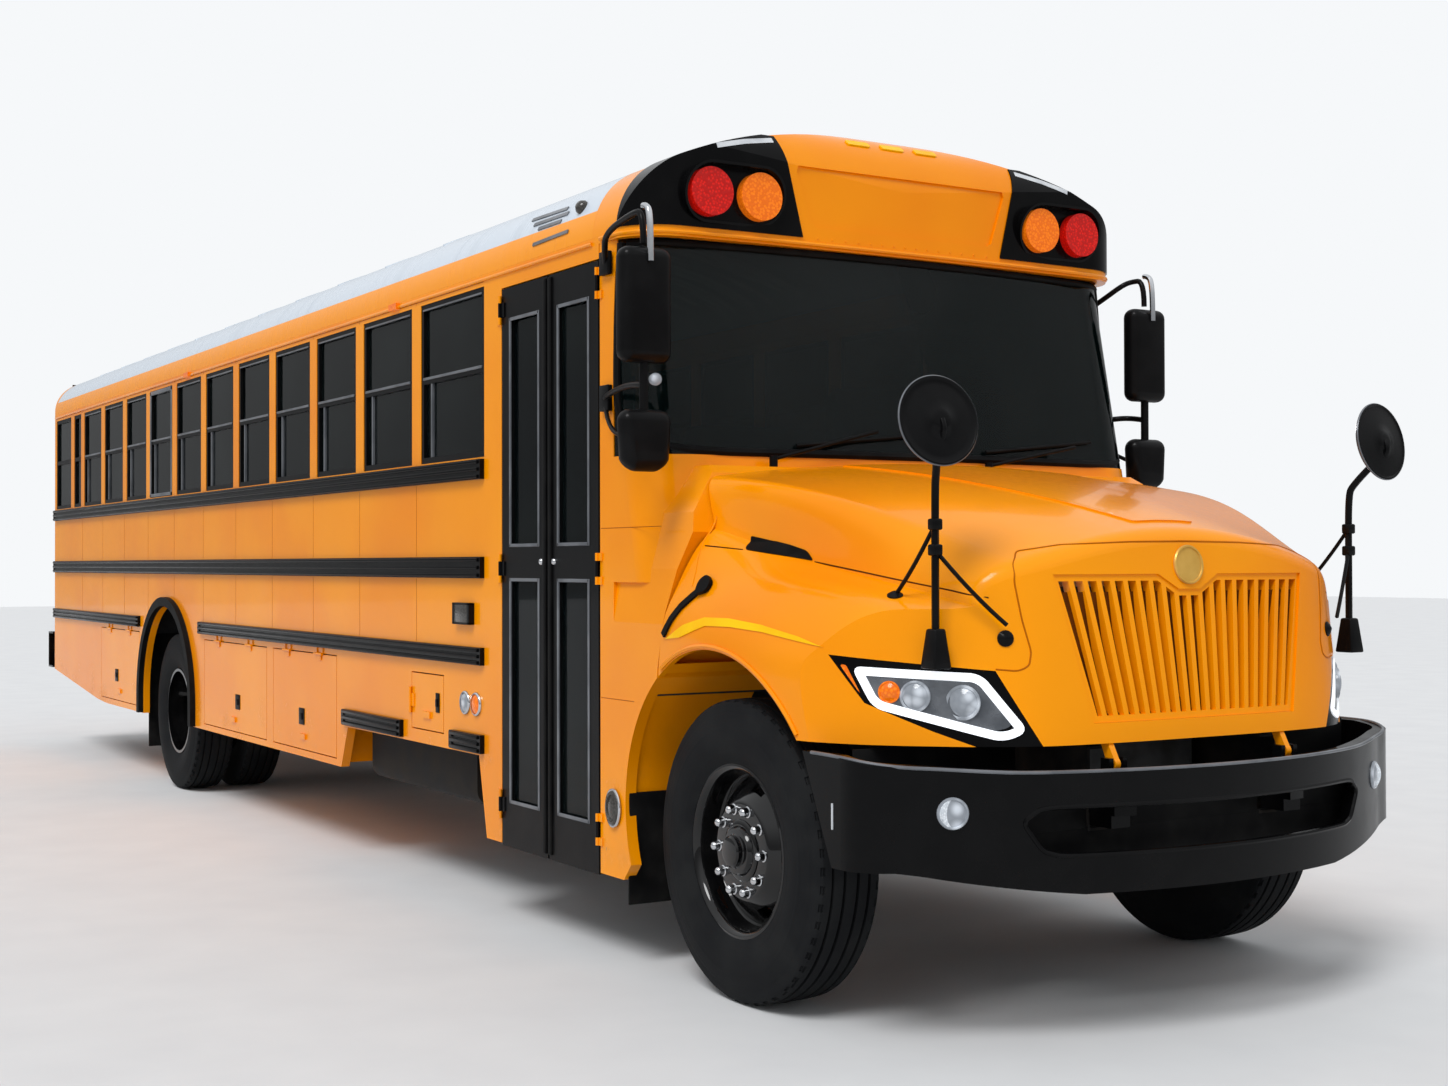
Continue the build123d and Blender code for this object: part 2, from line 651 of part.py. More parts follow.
def warning_lamps(colour):
    """Round lenses on the panels, front and rear, both sides."""
    lamps = []
    for y, shade in WARNING_Y:
        if shade == colour:
            front_face = CAP_FACE + PANEL_THICK
            front = drum_x(y, WARNING_Z, WARNING_R, front_face - 90, front_face + WARNING_PROUD)
            front -= cap_form(-PANEL_THICK - SEAT_GAP, -800)
            rear_face = BODY_REAR - PANEL_THICK - SEAT_GAP
            rear = drum_x(y, WARNING_Z, WARNING_R, rear_face - WARNING_PROUD, rear_face)
            lamps += [front, mirrored(front), rear, mirrored(rear)]
    return lamps


# Side walls
REAR_ARCH_X = -WHEELBASE
# hatch name, rear x, front x, low z, high z, sides
HATCHES = (
    ("hatch_right_front", -4908, -3842, 505, 1045, -1),
    ("hatch_right_middle", -6318, -5024, 505, 1045, -1),
    ("hatch_right_rear", -9140, -7965, 510, 1045, -1),
    ("fuel_door", -2800, -2410, 745, 1014, -1),
    ("battery_door", -2800, -2330, 705, 1014, 1),
)
HATCH_THICK = 22
HATCH_GAP = 6


def hatch_hinges(name, rear, front, low, high, side):
    """Hinge planes of one hatch: along its top, or up the rear edge of the fuel door."""
    skin = side * HALF
    if name == "fuel_door":
        origin = (rear + HINGE_EDGE, skin, (low + high) / 2)
        return [Plane(origin=origin, x_dir=(1, 0, 0), z_dir=(0, 0, side))]
    planes = []
    for share in (0.25, 0.75):
        origin = (rear + (front - rear) * share, skin, high - HINGE_EDGE)
        planes.append(Plane(origin=origin, x_dir=(0, 0, -1), z_dir=(side, 0, 0)))
    return planes


def leaf_hinges(leaf):
    """Hinge planes of one entrance door leaf."""
    rear, front = leaf_span(leaf)
    turn = -1 if leaf == "rear" else 1
    x = rear - HINGE_EDGE if leaf == "rear" else front + HINGE_EDGE
    planes = []
    for z in (500, 1500, 2600):
        planes.append(Plane(origin=(x, -HALF, z), x_dir=(-turn, 0, 0), z_dir=(0, 0, turn)))
    return planes


def exit_hinges():
    """Hinge planes of the emergency door."""
    planes = []
    for z in (1250, 1810, 2450):
        origin = (BODY_REAR, -EXIT_HALF + HINGE_EDGE, z)
        planes.append(Plane(origin=origin, x_dir=(0, 1, 0), z_dir=(0, 0, 1)))
    return planes


def window_edges():
    """Rear and front edge of each side window, from the entrance back."""
    centres = list(PILLARS)
    fronts = [FIRST_WINDOW] + [x - PILLAR / 2 for x in centres]
    rears = [x + PILLAR / 2 for x in centres] + [LAST_WINDOW]
    return list(zip(rears, fronts))


def wall_outline(side):
    """A side wall's outline in (x, z)."""
    tail = REAR_SEAM + SEAT_GAP
    points = [
        (tail, SKIRT_TAIL),
        (SKIRT_TAIL_X, SKIRT_BOTTOM + 15),
        (SKIRT_TAIL_X + 300, SKIRT_BOTTOM),
        (SKIRT_STEP_X, SKIRT_BOTTOM),
        (SKIRT_STEP_X + SKIRT_SLOPE, SKIRT_RAISED),
        (SKIRT_FRONT_X, SKIRT_RAISED),
        (ENTRY_SILL_X, ENTRY_SILL),
    ]
    if side < 0:
        points += [
            (DOOR_REAR, ENTRY_SILL),
            (DOOR_REAR, DOOR_TOP),
            (DOOR_FRONT, DOOR_TOP),
        ]
    else:
        points.append((DOOR_FRONT, ENTRY_SILL))
    points += [(DOOR_FRONT, ROOF_SPRING), (tail, ROOF_SPRING)]
    return points


def side_wall(side):
    """One whole side: skirt, wall and window pillars, with its windows and hatches cut."""
    outer = side * HALF
    inner = side * (HALF - WALL)
    low, high = min(outer, inner), max(outer, inner)
    wall = plate_y(wall_outline(side), low, high)
    cuts = [drum_y(REAR_ARCH_X, REAR_ARCH_Z, REAR_ARCH_R, low - 10, high + 10)]
    cuts.append(block(REAR_ARCH_X - REAR_ARCH_R, REAR_ARCH_X + REAR_ARCH_R, low - 10, high + 10,
                      0, REAR_ARCH_Z))
    for rear, front in window_edges():
        cuts.append(block(rear, front, low - 10, high + 10, WINDOW_SILL, WINDOW_TOP))
    if side > 0:
        rear, front = DRIVER_WINDOW_X
        cuts.append(block(rear, front, low - 10, high + 10, WINDOW_SILL, WINDOW_TOP))
    for name, rear, front, bottom, top, where in HATCHES:
        if where == side:
            cuts.append(block(rear, front, low - 10, high + 10, bottom, top))
    wall -= cuts
    planes = [plane for row in HATCHES if row[5] == side for plane in hatch_hinges(*row)]
    if side < 0:
        planes += leaf_hinges("rear")
    return wall + hinge_halves(planes)[1]


def roof():
    """Roof shell between the two caps, with the escape hatch's opening."""
    shell = roof_prism(0, REAR_SEAM + SEAT_GAP, CAP_SEAM - SEAT_GAP, ROOF_SPRING - 50)
    shell -= roof_prism(ROOF_THICK, REAR_SEAM - 10, CAP_SEAM + 10, ROOF_SPRING - 100)
    shell &= block(REAR_SEAM - 100, 0, -HALF, HALF, ROOF_SPRING + SEAT_GAP, 4000)
    for x in ROOF_HATCH_X:
        half = ROOF_HATCH / 2
        shell -= block(x - half, x + half, -half, half, 3000, 4000)
        curb = block(x - half - 30, x + half + 30, -half - 30, half + 30, ROOF_TOP - 70, ROOF_TOP + 18)
        curb -= block(x - half, x + half, -half, half, 3000, 4000)
        shell += curb - roof_prism(ROOF_THICK, REAR_SEAM - 10, CAP_SEAM + 10, ROOF_SPRING - 100)
    return shell


# Roof hatches: middle stations and clear opening
ROOF_HATCH_X = (-3850, -8400)
ROOF_HATCH = 600
LID_THICK = 26


def roof_hatch(x):
    """A lid on the curb, hinged at its rear edge."""
    half = ROOF_HATCH / 2 + 45
    low = ROOF_TOP + 18 + SEAT_GAP * 2
    lid = block(x - half, x + half, -half, half, low, low + LID_THICK)
    return fillet(lid.edges().filter_by(Axis.Z), 60)


# Rear cap: corner panels, lintel and sill round the emergency door
EXIT_HALF = 470
EXIT_LOW = 1070
EXIT_HIGH = 2640
REAR_WINDOW_Y = (590, 1090)
REAR_WINDOW_Z = (1986, 2640)
REAR_BROW_R = 240


def rear_form(inset, front_x):
    """The body's rear end as a solid form."""
    back = BODY_REAR + inset
    low = SKIRT_TAIL
    form = roof_prism(inset, back - 10, front_x, low)
    radius = REAR_CORNER_R - min(inset, REAR_CORNER_R - 20)
    half = HALF - inset
    bulge = radius * math.sqrt(0.5)
    plan = make_face([
        Line((front_x + 10, -half, low), (back + radius, -half, low)),
        ThreePointArc((back + radius, -half, low),
                      (back + radius - bulge, -half + radius - bulge, low),
                      (back, -half + radius, low)),
        Line((back, -half + radius, low), (back, half - radius, low)),
        ThreePointArc((back, half - radius, low),
                      (back + radius - bulge, half - radius + bulge, low),
                      (back + radius, half, low)),
        Line((back + radius, half, low), (front_x + 10, half, low)),
        Line((front_x + 10, half, low), (front_x + 10, -half, low)),
    ])
    form &= extrude(plan, amount=4000, dir=(0, 0, 1))
    top = ROOF_TOP - inset
    brow = REAR_BROW_R - inset
    arc = brow * math.sqrt(0.5)
    profile = make_face([
        Line((front_x + 20, -HALF, low), (back, -HALF, low)),
        Line((back, -HALF, low), (back, -HALF, top - brow)),
        ThreePointArc((back, -HALF, top - brow), (back + brow - arc, -HALF, top - brow + arc),
                      (back + brow, -HALF, top)),
        Line((back + brow, -HALF, top), (front_x + 20, -HALF, top)),
        Line((front_x + 20, -HALF, top), (front_x + 20, -HALF, low)),
    ])
    return form & extrude(profile, amount=BODY_WIDTH, dir=(0, 1, 0))


def rear_wall():
    """The rear end, with openings for the emergency door and the fixed windows."""
    seam = REAR_SEAM - SEAT_GAP
    wall = rear_form(0, seam) - rear_form(WALL, seam + 50)
    wall -= block(BODY_REAR + WALL, 0, -HALF + WALL, HALF - WALL, 0, ROOF_SPRING)
    wall -= block(BODY_REAR - 50, 0, -EXIT_HALF, EXIT_HALF, EXIT_LOW, EXIT_HIGH)
    for side in (-1, 1):
        y0, y1 = sorted((side * REAR_WINDOW_Y[0], side * REAR_WINDOW_Y[1]))
        wall -= block(BODY_REAR - 50, 0, y0, y1, *REAR_WINDOW_Z)
        y0, y1 = sorted((side * 335, side * 430))
        wall -= block(BODY_REAR - 50, 0, y0, y1, 665, 925)
    return wall + hinge_halves(exit_hinges())[1]


def emergency_door():
    """The rear door, with two window openings."""
    gap = HATCH_GAP
    door = block(BODY_REAR, BODY_REAR + 40, -EXIT_HALF + gap, EXIT_HALF - gap, EXIT_LOW + gap, EXIT_HIGH - gap)
    door -= block(-12000, 0, -350, 350, 1986, 2560)
    door -= block(-12000, 0, -350, 350, 1240, 1640)
    handle = block(BODY_REAR - 30, BODY_REAR, 385, 415, 1700, 1860)
    return door + handle + hinge_halves(exit_hinges())[0]


def emergency_glass():
    """The two panes of the rear door."""
    x0 = BODY_REAR + 15
    upper = block(x0, x0 + GLASS, -350 + SEAT_GAP, 350 - SEAT_GAP, 1986 + SEAT_GAP, 2560 - SEAT_GAP)
    lower = block(x0, x0 + GLASS, -350 + SEAT_GAP, 350 - SEAT_GAP, 1240 + SEAT_GAP, 1640 - SEAT_GAP)
    return [upper, lower]


def sash(rear, front, side):
    """One black window frame with its middle bar."""
    outer = side * (HALF - 4)
    inner = side * (HALF - 4 - SASH_DEPTH)
    low, high = min(outer, inner), max(outer, inner)
    gap = SEAT_GAP
    frame = block(rear + gap, front - gap, low, high, WINDOW_SILL + gap, WINDOW_TOP - gap)
    half = MID_RAIL_TALL / 2
    frame -= block(rear + SASH, front - SASH, low - 5, high + 5, WINDOW_SILL + SASH, MID_RAIL - half)
    frame -= block(rear + SASH, front - SASH, low - 5, high + 5, MID_RAIL + half, WINDOW_TOP - SASH)
    return frame


def window_panes(rear, front, side):
    """Upper and lower pane of one side window."""
    middle = side * (HALF - 4 - SASH_DEPTH / 2)
    low, high = middle - GLASS / 2, middle + GLASS / 2
    half = MID_RAIL_TALL / 2
    edge = SASH + SEAT_GAP
    lower = block(rear + edge, front - edge, low, high, WINDOW_SILL + edge, MID_RAIL - half - SEAT_GAP)
    upper = block(rear + edge, front - edge, low, high, MID_RAIL + half + SEAT_GAP, WINDOW_TOP - edge)
    return [lower, upper]


def all_windows():
    """Every side window as (rear, front, side)."""
    rows = [(rear, front, side) for side in (-1, 1) for rear, front in window_edges()]
    rows.append((*DRIVER_WINDOW_X, 1))
    return rows


def rear_panes():
    """The two fixed panes beside the emergency door."""
    x0 = BODY_REAR + 20
    pane = block(x0, x0 + GLASS, REAR_WINDOW_Y[0] + SEAT_GAP, REAR_WINDOW_Y[1] - SEAT_GAP,
                 REAR_WINDOW_Z[0] + SEAT_GAP, REAR_WINDOW_Z[1] - SEAT_GAP)
    return [pane, mirrored(pane)]


def rub_rails():
    """Ribbed black guard rails on both sides."""
    rails = []
    for low, high, rear, front in RAILS:
        rail = block(rear, front, HALF + SEAT_GAP, HALF + RAIL_PROUD, low, high)
        for share in (0.3, 0.7):
            z = low + (high - low) * share
            rail -= block(rear + 30, front - 30, HALF + RAIL_PROUD - 6, HALF + RAIL_PROUD + 5, z - 5, z + 5)
        rail = fillet(rail.edges().filter_by(Axis.Y).group_by(Axis.X)[0], 12)
        rails += [rail, mirrored(rail)]
    return rails


def hatch(name, rear, front, low, high, side):
    """A flush panel hinged along its upper edge, or its rear edge on the small doors."""
    gap = HATCH_GAP
    panel = block(rear + gap, front - gap, HALF - HATCH_THICK, HALF, low + gap, high - gap)
    inner = block(rear + gap + 30, front - gap - 30, HALF - HATCH_THICK - 1, HALF - 6,
                  low + gap + 30, high - gap - 30)
    panel -= inner
    middle = (rear + front) / 2
    latch = block(middle - 45, middle + 45, HALF - 1, HALF + 10, low + 60, low + 90)
    panel += latch
    if side < 0:
        panel = mirrored(panel)
    return panel + hinge_halves(hatch_hinges(name, rear, front, low, high, side))[0]


# Luggage boxes behind the large hatches
BOX_DEPTH = 560
BOX_WALL = 15


def luggage_boxes():
    """Open-fronted boxes hung under the floor behind the right-hand hatches."""
    boxes = []
    for name, rear, front, low, high, side in HATCHES[:3]:
        y_out = HALF - WALL - SEAT_GAP
        y_in = y_out - BOX_DEPTH
        ceiling = FLOOR_TOP - FLOOR_THICK - SEAT_GAP
        box = block(rear - 10, front + 10, y_in, y_out, low - 20, ceiling)
        box -= block(rear - 10 + BOX_WALL, front + 10 - BOX_WALL, y_in + BOX_WALL, y_out + 10,
                     low - 20 + BOX_WALL, ceiling - BOX_WALL)
        boxes.append(box if side > 0 else mirrored(box))
    return boxes


# Floor, wheel houses and entrance steps
HOUSE_HALF = 700
HOUSE_INNER = 510
HOUSE_TOP = 1265
HOUSE_SHEET = 20
STEP_DEPTH = 760            # from the side wall in towards the aisle
STEPS = 3
STEP_SHEET = 24


def floor():
    """Floor panel with wheel houses, and the entrance's steps."""
    low = FLOOR_TOP - FLOOR_THICK
    wide = HALF - WALL - SEAT_GAP
    rear = BODY_REAR + WALL + SEAT_GAP
    front = -700
    panel = block(rear, FIREWALL_X - SEAT_GAP, -wide, wide, low, FLOOR_TOP)
    panel -= block(DOOR_REAR, front, -HALF, -HALF + STEP_DEPTH, low - 5, FLOOR_TOP + 5)
    panel -= drum_y(FRONT_ARCH_X, FRONT_ARCH_Z, FRONT_ARCH_R + MOVE_GAP, -HALF, HALF)
    houses = []
    for side in (-1, 1):
        y0, y1 = sorted((side * HOUSE_INNER, side * (wide + 1)))
        panel -= block(REAR_ARCH_X - HOUSE_HALF + HOUSE_SHEET, REAR_ARCH_X + HOUSE_HALF - HOUSE_SHEET,
                       min(side * (HOUSE_INNER + HOUSE_SHEET), side * (wide + 5)),
                       max(side * (HOUSE_INNER + HOUSE_SHEET), side * (wide + 5)), low - 5, FLOOR_TOP + 5)
        y_edge = side * wide
        house = block(REAR_ARCH_X - HOUSE_HALF, REAR_ARCH_X + HOUSE_HALF, side * HOUSE_INNER, y_edge,
                      low, HOUSE_TOP)
        house -= block(REAR_ARCH_X - HOUSE_HALF + HOUSE_SHEET, REAR_ARCH_X + HOUSE_HALF - HOUSE_SHEET,
                       side * (HOUSE_INNER + HOUSE_SHEET), y_edge + side * 5, low - 5, HOUSE_TOP - HOUSE_SHEET)
        houses.append(house)
    body = panel + houses
    well = []
    inner_y = -HALF + STEP_DEPTH
    rise = (FLOOR_TOP - DOOR_BOTTOM - 30) / STEPS
    run = (STEP_DEPTH - WALL - 10) / STEPS
    x0 = DOOR_REAR + 2
    x1 = front
    for index in range(STEPS):
        y_start = -wide + index * run
        z_tread = DOOR_BOTTOM + 30 + index * rise
        y_end = inner_y if index == STEPS - 1 else y_start + run + STEP_SHEET
        well.append(block(x0, x1, y_start, y_end, z_tread - STEP_SHEET, z_tread))
        well.append(block(x0, x1, y_start + run, y_start + run + STEP_SHEET, z_tread - STEP_SHEET,
                          min(z_tread + rise, FLOOR_TOP)))
    for x in (x0, x1 - STEP_SHEET):
        well.append(block(x, x + STEP_SHEET, -wide, inner_y + 5, DOOR_BOTTOM + 30 - STEP_SHEET, low + 5))
    return body + well


# Chassis
CROSS_X = (900, 520, -620, -1900, -3300, -4700, -6150, -8250, -9400, -10600)
CROSS_WIDE = 70
JACK_X = (300, -4300, -9800)   # pads under each rail for a jack
JACK_PAD = 12


def frame_rails():
    """Two channel rails with cross-members."""
    parts = []
    for side in (-1, 1):
        web = block(RAIL_REAR, RAIL_FRONT, side * (RAIL_OUT - RAIL_WEB), side * RAIL_OUT, RAIL_BOTTOM, RAIL_TOP)
        rail = web
        for z in (RAIL_BOTTOM, RAIL_TOP - RAIL_WEB):
            rail += block(RAIL_REAR, RAIL_FRONT, side * (RAIL_OUT - RAIL_FLANGE), side * RAIL_OUT,
                          z, z + RAIL_WEB)
        for x in JACK_X:
            pad_y = side * (RAIL_OUT - RAIL_FLANGE / 2)
            rail += block(x - 60, x + 60, pad_y - 30, pad_y + 30, RAIL_BOTTOM - JACK_PAD, RAIL_BOTTOM + 1)
        parts.append(rail)
    for x in CROSS_X:
        low = RAIL_BOTTOM + 20 if x < 0 else RAIL_BOTTOM + 10
        high = RAIL_TOP - 60 if x < -600 else RAIL_BOTTOM + 60
        reach = RAIL_OUT - RAIL_WEB - SEAT_GAP
        parts.append(block(x - CROSS_WIDE / 2, x + CROSS_WIDE / 2, -reach, reach, low, high))
    for x in BEARER_X:
        parts.append(block(x - 30, x + 30, -435, 435, RAIL_TOP + SEAT_GAP,
                           FLOOR_TOP - FLOOR_THICK - SEAT_GAP))
    return parts


BEARER_X = tuple(-1900 - 730 * index for index in range(12)) + (-1150,)

# Springs and axles
SPRING_WIDE = 74
FRONT_SPRING_Y = 392
REAR_SPRING_Y = 478
SPRING_REACH = 650
SPRING_THICK = 48


def leaf_spring(x, y, seat_z, end_z, reach):
    """A bowed leaf pack lying on its axle."""
    y0 = y - SPRING_WIDE / 2
    edges = [
        ThreePointArc((x - reach, y0, end_z), (x, y0, seat_z), (x + reach, y0, end_z)),
        Line((x + reach, y0, end_z), (x + reach, y0, end_z + SPRING_THICK * 0.5)),
        ThreePointArc((x + reach, y0, end_z + SPRING_THICK * 0.5), (x, y0, seat_z + SPRING_THICK),
                      (x - reach, y0, end_z + SPRING_THICK * 0.5)),
        Line((x - reach, y0, end_z + SPRING_THICK * 0.5), (x - reach, y0, end_z)),
    ]
    return extrude(make_face(edges), amount=SPRING_WIDE, dir=(0, 1, 0))


BEAM_TOP = 520
BEAM_TALL = 95
BEAM_HALF = 42
BOSS_LOW = 470
BOSS_HIGH = 560
BOSS_R = 42


def front_axle():
    """Forged beam between the kingpins, with its two leaf springs."""
    beam = block(-BEAM_HALF, BEAM_HALF, -KINGPIN_Y + 20, KINGPIN_Y - 20, BEAM_TOP - BEAM_TALL, BEAM_TOP)
    for side in (-1, 1):
        beam -= block(side * BEAM_HALF - side * 26, side * (BEAM_HALF + 5), -700, 700,
                      BEAM_TOP - BEAM_TALL + 18, BEAM_TOP - 18)
        beam -= block(-60, 60, side * 760, side * 900, 0, BOSS_LOW)
        beam += drum_z(0, side * KINGPIN_Y, BOSS_R, BOSS_LOW, BOSS_HIGH)
        beam -= drum_z(0, side * KINGPIN_Y, KINGPIN_R + PIN_GAP, 300, 700)
        spring = leaf_spring(0, side * FRONT_SPRING_Y, BEAM_TOP - 1, 611, SPRING_REACH)
        beam += spring
        for x in (-SPRING_REACH + 25, SPRING_REACH - 25):
            beam += block(x - 40, x + 40, side * FRONT_SPRING_Y - 30, side * FRONT_SPRING_Y + 30, 600,
                          RAIL_BOTTOM - SEAT_GAP)
    return beam


def knuckle(side):
    """Steering knuckle: ears and kingpin, spindle and steering arm."""
    y = KINGPIN_Y
    upper = drum_z(0, y, 40, BOSS_HIGH + 6, BOSS_HIGH + 46)
    lower = drum_z(0, y, 40, BOSS_LOW - 46, BOSS_LOW - 6)
    pin = drum_z(0, y, KINGPIN_R, BOSS_LOW - 46, BOSS_HIGH + 46)
    back = block(-45, 45, y + BOSS_R + 6, y + BOSS_R + 40, BOSS_LOW - 46, BOSS_HIGH + 46)
    ears = block(-35, 35, y, y + BOSS_R + 20, BOSS_HIGH + 6, BOSS_HIGH + 46)
    ears += block(-35, 35, y, y + BOSS_R + 20, BOSS_LOW - 46, BOSS_LOW - 6)
    spindle = drum_y(0, TYRE_R, 38, y + BOSS_R + 20, WHEEL_Y + 70)
    arm = block(-STEER_ARM - 25, -20, y - 22, y + 22, TIE_Z + 12, TIE_Z + 34)
    body = upper + lower + pin + back + ears + spindle + arm
    stud = drum_z(-STEER_ARM, y, 10, TIE_Z - 24, TIE_Z + 30)
    body += stud
    return body if side > 0 else mirrored(body)


def tie_rod():
    """The track rod, joined to the right arm by its stud; its left eye is the open pivot."""
    bar = drum_y(-STEER_ARM, TIE_Z - 6, 14, -KINGPIN_Y + 15, KINGPIN_Y - 15)
    for side, clear in ((-1, PIN_GAP), (1, 1.5)):
        eye = drum_z(-STEER_ARM, side * KINGPIN_Y, 24, TIE_Z - 22, TIE_Z + 10)
        bar += eye
        bar -= drum_z(-STEER_ARM, side * KINGPIN_Y, 10 + clear, TIE_Z - 60, TIE_Z + 60)
    return bar


def rear_axle():
    """Driven axle housing with springs, and the drive shaft to the gearbox."""
    x = REAR_ARCH_X
    housing = drum_y(x, TYRE_R, 68, -HUB_INNER + 8, HUB_INNER - 8)
    housing += Pos(x, 0, TYRE_R) * Sphere(185)
    housing += drum_x(0, TYRE_R, 90, x, x + 330)
    for side in (-1, 1):
        y0 = side * (HUB_INNER - 20)
        y1 = side * (WHEEL_Y - 31)
        housing += drum_y(x, TYRE_R, 48, y0, y1)
        spring = leaf_spring(x, side * REAR_SPRING_Y, TYRE_R + 60, 740, 720)
        housing += spring
        for end in (-690, 690):
            housing += block(x + end - 40, x + end + 40, side * (RAIL_OUT + SEAT_GAP), side * 515, 735, 900)
    shaft = rod((x + 331.3, 0, TYRE_R), (GEARBOX_REAR - 14, 0, 640), 90)
    return [housing, shaft]


HUB_INNER = 640
GEARBOX_REAR = -1350
ENGINE_X = (-330, 700)
ENGINE_HALF = 320
ENGINE_Z = (605, 1380)


def engine():
    """Engine and gearbox as one plain block, and the radiator on the rails ahead of it."""
    block_part = block(*ENGINE_X, -ENGINE_HALF, ENGINE_HALF, *ENGINE_Z)
    block_part -= block(485, 555, -500, 500, 500, RAIL_BOTTOM + 61)
    gearbox = block(GEARBOX_REAR, ENGINE_X[0] + 1, -200, 200, 540, 900)
    gearbox -= block(-656, -584, -500, 500, RAIL_BOTTOM, RAIL_TOP)
    block_part += gearbox
    web = RAIL_OUT - RAIL_WEB - SEAT_GAP
    block_part += block(180, 260, -web, web, 700, 780)
    radiator = block(820, 890, -500, 500, RAIL_TOP + SEAT_GAP, 1440)
    return [block_part, radiator]


# Fuel tank and exhaust
TANK_X = (-3560, -2240)
TANK_Z = (430, 1000)


def fuel_tank():
    """Cage-mounted tank outboard of the right rail."""
    tank = block(*TANK_X, -1130, -RAIL_OUT - 20, *TANK_Z)
    tank = fillet(tank.edges().filter_by(Axis.X), 70)
    straps = []
    for x in (TANK_X[0] + 250, TANK_X[1] - 250):
        straps.append(block(x - 30, x + 30, -RAIL_OUT - 30, -RAIL_OUT - SEAT_GAP, 680, 900))
    return tank + straps


def exhaust():
    """Muffler and pipes outboard of the left rail, ending ahead of the rear wheel."""
    pipe = tube([(-1250, 520, 700), (-3900, 560, 760), (-4300, 700, 780)], 100, 150)
    muffler = drum_x(700, 780, 130, -5400, -4280)
    tail = tube([(-5380, 700, 780), (-5900, 700, 780), (-6150, 1000, 560), (-6190, 1110, 500)], 100, 80)
    hangers = block(-4500, -4440, RAIL_OUT + SEAT_GAP, 650, 820, 860)
    hangers += block(-5200, -5140, RAIL_OUT + SEAT_GAP, 650, 820, 860)
    return pipe + muffler + tail + hangers


# Bumpers
BUMPER_BOW_R = 2050
BUMPER_TOP = 872
BUMPER_LOW = 492
BUMPER_SHELL = 50
BUMPER_END_R = 190
BUMPER_TAIL = 520
TOW_X = 1040
TOW_R = 17
TOW_PLATE_Z = 720            # top of the tow plates, under the bumper's arms
TOW_PLATE_THICK = 40


def bumper_plan(inset, z):
    """The front bumper from above: a bowed face with wrapped ends."""
    radius = BUMPER_BOW_R
    centre_x = FRONT_REACH - radius
    half = HALF - inset
    corner_y = HALF - BUMPER_END_R
    corner_x = centre_x + math.sqrt(radius ** 2 - corner_y ** 2)
    end_x = corner_x - BUMPER_END_R
    slope = corner_y / (corner_x - centre_x)
    edges = [
        Line((BUMPER_TAIL - 300, -half, z), (end_x, -half, z)),
        Spline((end_x, -half, z), (corner_x - inset, -corner_y, z),
               tangents=[(1, 0, 0), (slope, 1, 0)]),
        ThreePointArc((corner_x - inset, -corner_y, z), (FRONT_REACH - inset, 0, z),
                      (corner_x - inset, corner_y, z)),
        Spline((corner_x - inset, corner_y, z), (end_x, half, z),
               tangents=[(-slope, 1, 0), (-1, 0, 0)]),
        Line((corner_x - BUMPER_END_R, half, z), (BUMPER_TAIL - 300, half, z)),
        Line((BUMPER_TAIL - 300, half, z), (BUMPER_TAIL - 300, -half, z)),
    ]
    return make_face(edges)


def front_bumper():
    """Wrap-round bumper with its air slot, tow hooks and brackets to the rails."""
    outer = extrude(bumper_plan(0, BUMPER_LOW), amount=430, dir=(0, 0, 1))
    inner = extrude(bumper_plan(BUMPER_SHELL, BUMPER_LOW - 10), amount=500, dir=(0, 0, 1))
    shell = outer - inner
    ends = [(0, 400), (760, 400), (BUMPER_TAIL, 925), (BUMPER_TAIL, 1000), (0, 1000)]
    shell -= plate_y(ends, -HALF - 10, HALF + 10)
    top = [(0, BUMPER_TOP + 55), (700, BUMPER_TOP + 48), (950, BUMPER_TOP + 14), (1050, BUMPER_TOP),
           (1400, BUMPER_TOP), (1400, 1100), (0, 1100)]
    shell -= plate_y(top, -HALF - 10, HALF + 10)
    low = [(0, 300), (1400, 300), (1400, BUMPER_LOW), (1120, BUMPER_LOW), (880, 570), (0, 570)]
    shell -= plate_y(low, -HALF - 10, HALF + 10)
    slot = [(-760, 720), (-700, 765), (700, 765), (760, 720), (700, 630), (640, 612), (-640, 612),
            (-700, 630)]
    shell -= plate_x(slot, 700, 1400)
    brackets = []
    plates = []
    for side in (-1, 1):
        y0, y1 = sorted((side * 350, side * 430))
        arm = block(RAIL_FRONT + SEAT_GAP, 1150, y0, y1, TOW_PLATE_Z + SEAT_GAP, 850)
        arm &= extrude(bumper_plan(BUMPER_SHELL + SEAT_GAP, 0), amount=1000, dir=(0, 0, 1))
        plate = block(TOW_X - 50, TOW_X + 50, y0, y1, TOW_PLATE_Z - TOW_PLATE_THICK, TOW_PLATE_Z)
        plate -= drum_z(TOW_X, (y0 + y1) / 2, TOW_R, 600, 800)
        plates.append(plate)
        for ear_y in (y0 + 2, y1 - 20):
            arm += block(HOOD_PIVOT_X - 20, HOOD_PIVOT_X + 20, ear_y, ear_y + 18, 849, HOOD_PIVOT_Z + 20)
        arm += drum_y(HOOD_PIVOT_X, HOOD_PIVOT_Z, HOOD_PIN_R, y0 + 2, y1 - 2)
        brackets.append(arm)
    return [shell] + brackets + plates


